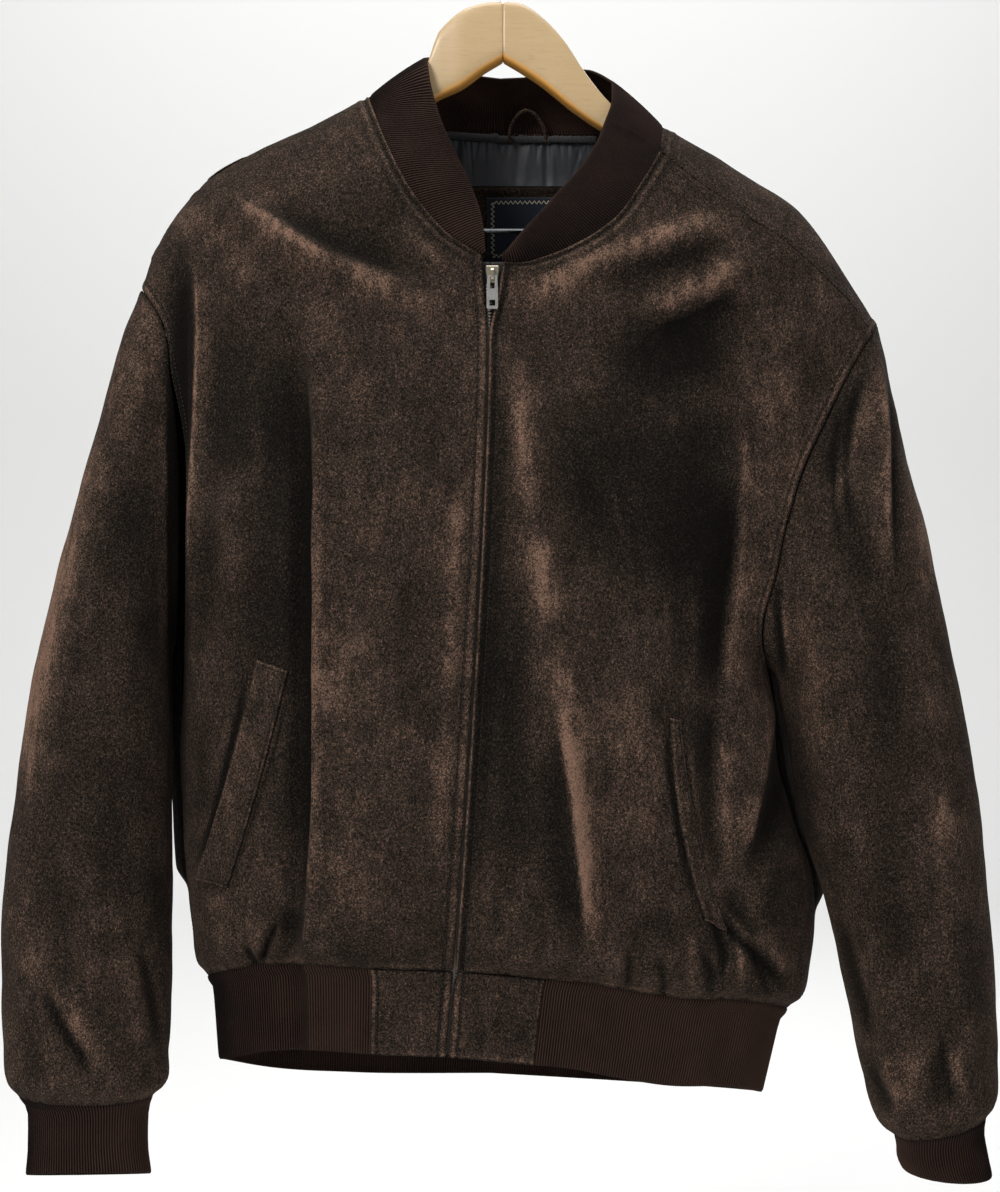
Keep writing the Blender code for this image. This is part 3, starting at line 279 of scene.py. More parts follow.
def section(side, column, v, back):
    """1 at the middle of a panel, falling to 0 where its side turns to the other panel."""
    closing = curve(CLOSING[side], v)[:, 2:] if back else curve(CLOSING[side], v)[:, :2]
    outward = -1 if side == "right" else 1
    armhole = (BACK_ARMHOLE if back else FRONT_ARMHOLE)[side]
    at = curve(SIDE[side], np.minimum(v, UNDERARM))[:, 0]
    at = np.where(v > UNDERARM, curve(armhole, v)[:, 0], at) + outward * np.maximum(0, closing[:, 0])
    if back:
        middle = np.full(len(v), 500.0)
    else:  # the zip's edge, carried straight on above the collar's corner
        middle = curve([row[:2] for row in FRONT_INNER[side][:6]], np.minimum(v, 0.66))[:, 0]
    n = closing[:, 1][:, None]
    along = np.clip((column - middle[:, None]) / (at - middle)[:, None], 0, 1)
    return (1 - along**n) ** (1 / n)


def front_folds(side, column, row):
    """How far the cloth stands forward of the plain front."""
    if side == "right":
        off = column - curve(STEP_FOLD, row)[..., 0]
        fade = step((row - 280) / 120)
        rise = 8 * step((off + 4) / 8) * np.exp(-np.maximum(off, 0) / 90)
        from_shoulder = 4 * bell((row - 235 - 0.33 * (column - 290)) / 22) * bell((column - 300) / 70)
        return fade * (rise - 4 * bell((off + 13) / 10)) + from_shoulder
    off = column - curve(ROLL_VALLEY, row)[..., 0]
    ridge = column - curve(CHEST_RIDGE, row)[..., 0]
    roll = 5 * bell((column - 770 + 0.08 * (row - 700)) / 26) * step((row - 420) / 200)
    return (
        step((row - 260) / 120) * (-6 * bell(off / 17)) + roll
        + 4 * bell(ridge / 30) * step((row - 330) / 150)
        + 4 * bell((row - 258 + 0.38 * (column - 660)) / 20) * bell((column - 680) / 60)
    )


def depth_at(side, column, row, v, back):
    """Depth of a panel's points: rounded at the shoulder and the side, and on a front with its long folds."""
    drop = np.clip(drop_below_ridge(side, column, row) / SHOULDER_REACH, 0, 1)
    shoulder = np.sqrt(1 - (1 - drop) ** 2)
    around = section(side, column, v, back)
    y = curve(DEPTH, v)[:, int(back)][:, None] * shoulder * around
    return y if back else -(y + front_folds(side, column, row) * np.minimum(1, around * 1.6) * shoulder)


def body_grid(side, s, v, back):
    """A whole front or back panel, at shares s across it and v up it."""
    if back:
        hem, top, inner, corner, armhole = BACK_HEM, RIDGE[side], BACK_INNER, NECK_BACK, BACK_ARMHOLE
    else:
        hem, inner, corner, armhole = FRONT_HEM, FRONT_INNER, NECK_FRONT, FRONT_ARMHOLE
        top = LEFT_SHOULDER_SEAM if side == "left" else RIDGE["right"]
    inner, outer = inner_line(inner[side], corner, v), outer_line(side, armhole, v)
    flat = patch(curve(hem[side], s), curve(top, s), inner, outer, s, v)
    column, row = flat[..., 0], flat[..., 1]
    return lay(column, row, depth_at(side, column, row, v, back))


def strip_grid(s, w, seam_points):
    """The back's strip from the left shoulder's ridge forward to its seam."""
    ridge, seam = curve(RIDGE["left"], s)[None], curve(LEFT_SHOULDER_SEAM, s)[None]
    w = w[:, None]
    column = ridge[..., 0] + (seam[..., 0] - ridge[..., 0]) * w
    row = ridge[..., 1] + (seam[..., 1] - ridge[..., 1]) * w**2
    return lay(column, row, seam_points[None, :, 1] * w)


def tube(table, places, angles, armhole=None):
    """Rings from an inner to an outer line. The first can be held to a given loop."""
    rings = []
    across = ((1 - np.cos(angles)) / 2)[:, None]
    for place in places:
        outer_column, outer_row, inner_column, inner_row, half, middle, last = curve(table, place)
        inner, outer = lay(inner_column, inner_row, middle), lay(outer_column, outer_row, middle)
        ring = inner + (outer - inner) * across
        ring[:, 1] -= half * np.sin(angles)
        if armhole is None:
            ring[:, 2] += last * np.sin(angles)
        elif place == 0:
            ring = armhole.copy()
        else:
            first_inner, first_outer = armhole[0], armhole[np.argmin(abs(angles - math.pi))]
            plain = first_inner + (first_outer - first_inner) * across
            plain[:, 1] -= table[0][5] * np.sin(angles)
            ring += (armhole - plain) * last
        rings.append(ring)
    return np.array(rings)


# ---------------------------------------------------------------- making meshes


def quads(rows, columns, wrap=False):
    """Faces of a grid of points. wrap joins its last column to its first."""
    ids = np.arange(rows * columns).reshape(rows, columns)
    here, after = (ids, np.roll(ids, -1, axis=1)) if wrap else (ids[:, :-1], ids[:, 1:])
    return np.stack([here[:-1], after[:-1], after[1:], here[1:]], -1).reshape(-1, 4)


def make(name, verts, faces, finish, replaces=(), values=None, smooth=True):
    """A mesh piece from millimetre points, riding on the jacket."""
    mesh = bpy.data.meshes.new(name)
    mesh.from_pydata((np.asarray(verts, np.float32) / 1000).tolist(), [], faces)
    for key, value in (values or {}).items():
        mesh.attributes.new(key, "FLOAT", "POINT").data.foreach_set("value", np.asarray(value, np.float32).ravel())
    mesh.materials.append(finish)
    if smooth:
        mesh.shade_smooth()
    obj = bpy.data.objects.new(name, mesh)
    bpy.context.scene.collection.objects.link(obj)
    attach(obj, JACKET)
    if replaces:
        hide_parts(*replaces)
    return obj


def unit(v):
    return v / np.maximum(np.linalg.norm(v, axis=-1), 1e-9)[..., None]


def seeded_waves(seed, count, shortest, longest):
    """Soft uneven swells, as a function of points in space. The longest are the highest."""
    rng = np.random.default_rng(seed)
    length = np.exp(rng.uniform(math.log(shortest), math.log(longest), count))
    way = rng.normal(size=(count, 3))
    way *= (2 * math.pi / length / np.linalg.norm(way, axis=1))[:, None]
    phase = rng.uniform(0, 2 * math.pi, count)
    weight = length / length.sum()

    def height(points):
        total = np.zeros(points.shape[:-1])
        for k, p, w in zip(way, phase, weight):
            total += w * np.sin(points @ k + p)
        return total

    return height


def fold_lines(column, row, table):
    """Sum of soft ridges and troughs along lines: height, width on the line's left, width on its right, points."""
    total = np.zeros(np.shape(column))
    for height, left, right, *points in table:
        p = np.array(points, float)
        reach = 2.6 * max(left, right)
        near = (
            (column > p[:, 0].min() - reach) & (column < p[:, 0].max() + reach)
            & (row > p[:, 1].min() - reach) & (row < p[:, 1].max() + reach)
        )
        if not near.any():
            continue
        x, y = column[near], row[near]
        legs, start = np.linalg.norm(np.diff(p, axis=0), axis=1), run_of(p)
        best, side, place = np.full(x.shape, 1e9), np.zeros(x.shape), np.zeros(x.shape)
        for k, leg in enumerate(legs):
            d = (p[k + 1] - p[k]) / leg
            along = np.clip((x - p[k, 0]) * d[0] + (y - p[k, 1]) * d[1], 0, leg)
            ox, oy = x - p[k, 0] - along * d[0], y - p[k, 1] - along * d[1]
            away = np.hypot(ox, oy)
            closer = away < best
            best = np.where(closer, away, best)
            side = np.where(closer, d[0] * oy - d[1] * ox, side)
            place = np.where(closer, start[k] + along, place)
        wide = np.where(side < 0, left, right)  # rows run down, so the line's left is the negative side
        share = place / start[-1]
        taper = step(share / 0.3) * step((1 - share) / 0.3)
        total[near] += height * np.exp(-((best / wide) ** 2)) * taper
    return total


class Panel:
    """A grid of cloth: rows run along it, columns across. wrap joins the last column to the first.

    outward is a way, or a way for each point, that the normals are turned to. lift moves the cloth out along them,
    and the painted values make it lighter or darker: painted highlights and painted shade along its folds, seams and
    recesses, with the suede's own uneven pile. left, right, start and end are distances from the four edges.
    """

    def __init__(self, name, points, outward=(0, -1, 0), wrap=False):
        self.name, self.base, self.wrap = name, np.asarray(points, float), wrap
        p = self.base
        if wrap:
            p = np.concatenate([p[:, -2:-1], p, p[:, 1:2]], axis=1)
        across = np.gradient(p, axis=1)
        if wrap:
            across = across[:, 1:-1]
        n = np.cross(across, np.gradient(self.base, axis=0))
        # A point where a side has shrunk to nothing takes its neighbour's normal.
        weak = np.linalg.norm(n, axis=-1) < 1e-6
        n[weak] = np.roll(n, 1, axis=0)[weak]
        self.normals = unit(n)
        if np.sum(self.normals * outward) < 0:
            self.normals *= -1
        self.lift, self.nap = np.zeros((2,) + self.base.shape[:2])
        self.column, self.row, _ = elevation(self.base)
        across_run, along_run = run_of(self.base, 1), run_of(self.base, 0)
        self.left, self.right = across_run, across_run[:, -1:] - across_run
        self.start, self.end = along_run, along_run[-1:] - along_run

    @property
    def points(self):
        return self.base + self.normals * self.lift[..., None]

    def sample(self, i, j):
        """Points and normals at fractional rows and columns."""
        i, j = np.broadcast_arrays(np.asarray(i, float), np.asarray(j, float))
        a = np.clip(i.astype(int), 0, self.base.shape[0] - 2)
        b = np.clip(j.astype(int), 0, self.base.shape[1] - 2)
        u, w = (i - a)[..., None], (j - b)[..., None]

        def mix(g):
            return (1 - u) * ((1 - w) * g[a, b] + w * g[a, b + 1]) + u * ((1 - w) * g[a + 1, b] + w * g[a + 1, b + 1])

        return mix(self.points), unit(mix(self.normals))

    def beside(self, which, away, first=0.0, last=0.0):
        """A line at a distance from one side: left, right, start or end. first and last trim its ends."""
        sideways = which in ("left", "right")
        lines = getattr(self, which) if sideways else getattr(self, which).T
        way = -1 if which in ("right", "end") else 1
        order = np.arange(lines.shape[1])[::way]
        places = np.array([np.interp(away, line[::way], order) for line in lines])
        other = np.arange(len(lines))
        p, n = self.sample(*((other, places) if sideways else (places, other)))
        run = run_of(p)
        keep = (run >= first) & (run <= run[-1] - last)
        return p[keep], n[keep]

    def build(self, finish, nodes, slot, thick, sheet, values=None):
        """The cloth as a thin shell. It stands for CAD nodes. sheet, its flat size and area, is not used."""
        rows, columns = self.base.shape[:2]
        if self.wrap:
            columns -= 1
        faces = quads(rows, columns, self.wrap)
        flat = self.points[:, :columns].reshape(-1, 3)
        a, b, d = (flat[faces[:, k]] for k in (0, 1, 3))
        normal = self.normals[:, :columns].reshape(-1, 3)[faces[:, 0]]
        if np.sum(np.cross(b - a, d - a) * normal) < 0:
            faces = faces[:, ::-1]
        painted = {key: value[:, :columns] for key, value in {"nap": self.nap, **(values or {})}.items()}
        obj = make(self.name, flat, faces.tolist(), finish, nodes, painted)
        shell = obj.modifiers.new("thickness", "SOLIDIFY")
        shell.thickness, shell.offset = thick / 1000, -1


def thread(name, lines, finish, pitch=3.3, length=2.3, radius=0.3):
    """Rows of stitches: each one a short rounded bar whose ends dip into the cloth."""
    verts, faces = [], []
    turn = np.radians([45, 135, 225, 315])
    stations = ((-0.5, 0.5, -0.35), (0, 1, 0.1), (0.5, 0.5, -0.35))  # share of the length, fatness, sinking
    corners = len(turn) * len(stations)
    sides = quads(len(stations), len(turn), wrap=True)
    count = 0
    for points, normals in lines:
        run = run_of(points)
        places = np.arange(pitch / 2, run[-1], pitch)
        if not len(places):
            continue
        centre, normal = at_run(run, points, places), unit(at_run(run, normals, places))
        ahead, behind = at_run(run, points, places + length / 2), at_run(run, points, places - length / 2)
        along = unit(ahead - behind)
        across = unit(np.cross(along, normal))
        block = np.stack([
            centre + along * share * length + across * math.cos(a) * radius * fat * 1.15
            + normal * (math.sin(a) * radius * fat + sink * radius * 2)
            for share, fat, sink in stations for a in turn
        ], 1)
        for o in range(count, count + len(block) * corners, corners):
            faces += [[o + 3, o + 2, o + 1, o], *(sides + o).tolist(), [o + 8, o + 9, o + 10, o + 11]]
        verts.append(block.reshape(-1, 3))
        count += len(block) * corners
    make(name, np.concatenate(verts), faces, finish)


def face_out(obj):
    mesh = bmesh.new()
    mesh.from_mesh(obj.data)
    bmesh.ops.recalc_face_normals(mesh, faces=mesh.faces)
    mesh.to_mesh(obj.data)
    mesh.free()


def rod(points, radius, sides):
    """Rings of a round cord along points."""
    along = unit(np.gradient(points, axis=0))
    guide = np.where(abs(along[:, 1:2]) > 0.9, [[0.0, 0.0, 1.0]], [[0.0, 1.0, 0.0]])
    side = unit(np.cross(along, guide))
    up = np.cross(side, along)
    a = np.linspace(0, 2 * math.pi, sides, endpoint=False)[None, :, None]
    return points[:, None] + radius * (side[:, None] * np.cos(a) + up[:, None] * np.sin(a))


def cord(centre, radius, twist, sides=10):
    """Rings of a twisted cord. twist gives its relief from the run along it and the share of a turn about it."""
    rings = rod(centre, radius, sides)
    relief = twist(run_of(centre)[:, None], np.arange(sides)[None] / sides)
    return rings + unit(rings - centre[:, None]) * relief[..., None]


def skin(name, rings, finish, replaces=(), values=None):
    """A closed piece through rings of points."""
    n, m = rings.shape[:2]
    caps = [list(range(m))[::-1], list(range((n - 1) * m, n * m))]
    faces = quads(n, m, wrap=True).tolist() + caps
    face_out(make(name, rings.reshape(-1, 3), faces, finish, replaces, values))


# ---------------------------------------------------------------- finishes


class Value:
    """A number or colour passed between shader nodes. Sums and products of values add their nodes."""

    def __init__(self, board, socket):
        self.board, self.socket = board, socket

    def __add__(self, other):
        return self.board.math("ADD", self, other)

    def __sub__(self, other):
        return self.board.math("SUBTRACT", self, other)

    def __rsub__(self, other):
        return self.board.math("SUBTRACT", other, self)

    def __mul__(self, other):
        return self.board.math("MULTIPLY", self, other)

    def __abs__(self):
        return self.board.math("ABSOLUTE", self)

    __radd__, __rmul__ = __add__, __mul__

    def between(self, low, high):
        """0 below low and 1 above high, smooth between."""
        return self.board.add("MapRange", {"interpolation_type": "SMOOTHSTEP"}, {0: self, 1: low, 2: high})

    def wave(self, length):
        """A sine of this wavelength, from -1 to 1."""
        return self.board.math("SINE", self * (2 * math.pi / length))


class Finish:
    """A Principled material. Keywords are its fixed sockets."""

    def __init__(self, name, **fixed):
        self.material = bpy.data.materials.new(name)
        self.material.use_nodes = True
        self.tree = self.material.node_tree
        self.shader = self.tree.nodes["Principled BSDF"]
        for key, value in fixed.items():
            self.shader.inputs[key.replace("_", " ")].default_value = (*value, 1) if np.ndim(value) else value
        self.place = self.add("TexCoord", out=3)

    def add(self, kind, settings=None, inputs=None, out=0):
        node = self.tree.nodes.new("ShaderNode" + kind)
        for key, value in (settings or {}).items():
            if key == "stops":
                ramp = node.color_ramp
                while len(ramp.elements) < len(value):
                    ramp.elements.new(1)
                for stop, (at, colour) in zip(ramp.elements, value):
                    stop.position, stop.color = at, (*colour, 1)
            else:
                setattr(node, key, value)
        for key, value in (inputs or {}).items():
            self.feed(node.inputs[key], value)
        return Value(self, node.outputs[out])

    def feed(self, socket, value):
        if isinstance(value, Value):
            self.tree.links.new(value.socket, socket)
        elif np.ndim(value) and len(socket.default_value) == 4:
            socket.default_value = (*value, 1)[:4]
        else:
            socket.default_value = value

    def math(self, operation, *values):
        return self.add("Math", {"operation": operation}, dict(enumerate(values)))

    def mix(self, share, first, second):
        return self.add("Mix", {"data_type": "RGBA"}, {0: share, 6: first, 7: second}, out=2)

    def brighten(self, colour, by):
        """A colour times a number."""
        return self.add("VectorMath", {"operation": "SCALE"}, {0: colour, "Scale": by})

    def noise(self, size, detail=3, rough=0.6, stretch=None, warp=0.0):
        """Uneven 0 to 1 with features of this size in millimetres. stretch lengthens them along X, Y and Z."""
        at = self.place
        if stretch is not None:
            at = self.add("Mapping", None, {0: at, 3: tuple(1 / s for s in stretch)})
        sockets = {"Vector": at, "Scale": 1000 / size, "Detail": detail, "Roughness": rough, "Distortion": warp}
        return self.add("TexNoise", None, sockets)

    def cells(self, size):
        """Distance from the middle of cells of this size in millimetres."""
        return self.add("TexVoronoi", None, {"Vector": self.place, "Scale": 1000 / size})

    def painted(self, name):
        """A number stored on the mesh."""
        return self.add("Attribute", {"attribute_name": name}, out=2)

    def axis(self, which):
        """A coordinate in millimetres."""
        return self.add("SeparateXYZ", None, {0: self.place}, out="XYZ".index(which)) * 1000

    def colour(self, value):
        self.feed(self.shader.inputs["Base Color"], value)

    def rough(self, value):
        self.feed(self.shader.inputs["Roughness"], value)

    def bumps(self, *heights):
        """Each height is a value and its depth in millimetres."""
        total = sum(value * depth for value, depth in heights)
        bump = self.add("Bump", None, {"Height": total, "Distance": 0.001, "Strength": 1.0})
        self.feed(self.shader.inputs["Normal"], bump)


def suede(name, deep=(0.0050, 0.0042, 0.0034), raised=(0.166, 0.098, 0.069)):
    """Dark where the pile lies smooth and where shade is painted, light where the pile stands up and where highlights
    are painted, with fine grain, fibres and pores.
    """
    f = Finish(
        name, Roughness=0.95, Specular_IOR_Level=0.04, Sheen_Weight=0.035, Sheen_Roughness=0.4,
        Sheen_Tint=(0.62, 0.46, 0.38),
    )
    nap = f.painted("nap")
    brushed_and_shaded = f.noise(30, 3, 0.5, warp=0.3) - 0.5
    streaks = f.noise(8, 3, 0.6, stretch=(1.0, 1.0, 2.6)) - 0.5
    grain = f.noise(1.5, 2, 0.7, stretch=(1.0, 1.0, 1.3)) - 0.5
    fibre = f.noise(0.8, 2, 0.6) - 0.5
    pores = f.cells(1.6)
    # The value stored on the mesh carries painted highlights and painted shade besides the pile's own tone.
    level = (
        nap * (0.47 + streaks * 0.8 + brushed_and_shaded * 0.4)
        + brushed_and_shaded * 0.36 + streaks * 0.42 + grain * 1.4 + fibre * 1.5 + 0.452
    )
    stops = [(k / 6, tuple(d ** (1 - k / 6) * r ** (k / 6) for d, r in zip(deep, raised))) for k in range(7)]
    dyed = f.add("ValToRGB", {"stops": stops}, {0: level})
    f.colour(f.brighten(dyed, 1.06 - (1 - pores).between(0.3, 0.85) * 0.4))
    f.rough(0.97 - level.between(0.4, 1.0) * 0.12)
    f.bumps((grain, 0.7), (fibre, 0.25), (f.noise(8, 2, 0.5), 0.7), (pores, 0.4))
    return f.material


def rib_knit(name):
    """Ribs counted by the mesh's own run across, with rows of loops along it. Their crests are painted light and the
    hollows between nearly black as painted shade, and the value stored on the mesh adds painted highlights and shade.
    """
    f = Finish(
        name, Roughness=0.95, Specular_IOR_Level=0.08, Sheen_Weight=0.03, Sheen_Roughness=0.5,
        Sheen_Tint=(0.6, 0.45, 0.4),
    )
    across, along, wear_and_painted_shade = f.painted("across"), f.painted("along"), f.painted("nap")
    crest = across.wave(RIB) * 0.5 + 0.5
    loops = abs((along + abs(across.wave(RIB * 2)) * 0.5).wave(2.6))
    fuzz = f.noise(1.1, 3, 0.7)
    shade = f.noise(30, 3, 0.6)
    # Painted shade between the ribs, and the painted light and shade stored on the mesh.
    level = crest * 0.95 + (fuzz - 0.5) * 0.9 + (shade - 0.5) * 0.55 + wear_and_painted_shade
    f.colour(f.mix(level, (0.0016, 0.0009, 0.0008), (0.0370, 0.0198, 0.0145)))
    f.bumps((loops, 0.16), (fuzz, 0.16), (crest, 0.35))
    return f.material


def satin(name):
    f = Finish(name, Roughness=0.42, Specular_IOR_Level=0.45, Sheen_Weight=0.15, Sheen_Roughness=0.3)
    cloud = f.noise(24, 3, 0.6)
    f.colour(f.mix(cloud, (0.014, 0.0155, 0.019), (0.027, 0.029, 0.035)))
    f.rough(0.38 + cloud * 0.16)
    f.bumps((f.axis("X").wave(0.5) * 0.5 + f.axis("Z").wave(0.5) * 0.5, 0.02), (f.noise(6, 3, 0.6), 0.12))
    return f.material


def woven(name, ground, rise, pitch=0.8, depth=0.08):
    f = Finish(name, Roughness=0.85, Specular_IOR_Level=0.25, Sheen_Weight=0.15)
    weave = f.axis("X").wave(pitch) * f.axis("Z").wave(pitch)
    f.colour(f.mix(weave * 0.25 + f.noise(3, 3, 0.7) * 0.8, ground, rise))
    f.bumps((weave, depth), (f.noise(1.5, 2, 0.6), 0.06))
    return f.material


def metal(name, colour, rough, wear_and_painted_shade=0.1):
    f = Finish(name, Metallic=1.0, Roughness=rough)
    film = f.noise(5, 4, 0.65)
    f.colour(f.mix(film, tuple(c * 0.78 for c in colour), colour))
    f.rough(rough + (film - 0.5) * wear_and_painted_shade)
    f.bumps((f.noise(1.2, 3, 0.6), 0.012))
    return f.material


def maple(name):
    """Pale wood with its grain along X, and a warmer amber where the mesh is marked as the underside, partly varnish
    and partly painted shade.
    """
    f = Finish(name, Roughness=0.42, Specular_IOR_Level=0.5, Coat_Weight=0.25, Coat_Roughness=0.2)
    under = f.painted("under")
    cloud = f.noise(60, 3, 0.5, stretch=(3, 1, 1))
    lines = f.noise(2.4, 4, 0.6, stretch=(22, 1, 1), warp=0.4)
    pores = f.noise(0.9, 2, 0.6, stretch=(14, 1, 1))
    light = f.mix(cloud * 0.45 + lines * 0.5, (0.375, 0.250, 0.118), (0.490, 0.362, 0.205))
    flecked = f.mix(pores.between(0.56, 0.72) * 0.35, light, (0.27, 0.165, 0.075))
    # The underside's amber: partly varnish, partly painted shade.
    f.colour(f.mix(under, flecked, (0.62, 0.30, 0.065)))
    f.rough(0.36 + lines * 0.14)
    f.bumps((lines, 0.04), (pores, 0.02))
    return f.material


RIB = 2.0  # one rib of the knit

SUEDE = suede("suede")
KNIT = rib_knit("rib_knit")
SATIN = satin("satin")
CORD = woven("corded_trim", (0.016, 0.0155, 0.018), (0.040, 0.039, 0.043), 0.9, 0.10)
LABEL = woven("label_cloth", (0.0045, 0.0075, 0.0145), (0.010, 0.0165, 0.030), 0.6)
CREAM = woven("label_thread", (0.42, 0.38, 0.27), (0.62, 0.57, 0.42), 0.5)
THREAD = woven("brown_thread", (0.010, 0.0065, 0.005), (0.026, 0.017, 0.013), 0.8)
TAPE = woven("zip_tape", (0.0075, 0.0058, 0.005), (0.017, 0.0125, 0.011), 0.7)
TEETH = metal("zip_teeth", (0.10, 0.09, 0.078), 0.4)
BRASS = metal("old_brass", (0.40, 0.36, 0.27), 0.33)
NICKEL = metal("nickel", (0.62, 0.60, 0.57), 0.27)
CHROME = metal("chrome", (0.72, 0.73, 0.75), 0.14, 0.05)
MAPLE = maple("maple")


# ---------------------------------------------------------------- the garment's panels

SEAM_LINES = [0.7, 1.5, 2.5, 3.8, 5.2, 6.4, 7.4, 8.6, 10.2]  # extra lines of points beside a seam


def spread(count, size, first=True, keep=()):
    """Places from 0 to 1, closer together beside the seams. size is the whole in millimetres."""
    near = np.array(SEAM_LINES) / size
    at = np.concatenate([np.linspace(0, 1, count), near if first else [], 1 - near, keep])
    good = [0.0]
    kept = set(np.round(keep, 7))
    for a in np.unique(np.round(at, 7))[1:]:
        if a - good[-1] > 0.45 / size or a in kept or a == 1.0:
            good.append(a)
    return np.array(good)


# Closer columns where the front has its sharpest folds.
SHARP = {"right": np.linspace(0.545, 0.635, 34), "left": np.linspace(0.77, 0.85, 24)}
DOWN = spread(226, 700, keep=(UNDERARM, NECK_FRONT, NECK_BACK))
WIDE = {side: spread(106, 300, keep=(TAB_EDGE[side], *SHARP[side])) for side in SIDES}
WIDE_BACK = spread(66, 300, first=False)
UNDERARM_AT, NECK_FRONT_AT, NECK_BACK_AT = (int(np.argmin(abs(DOWN - h))) for h in (UNDERARM, NECK_FRONT, NECK_BACK))
LONG_SLEEVE = spread(188, 640)
AROUND = 56  # columns on each half of a sleeve

swell = seeded_waves(5, 26, 28, 150)
ripple = seeded_waves(9, 30, 9, 30)
patchy = seeded_waves(14, 40, 18, 120)

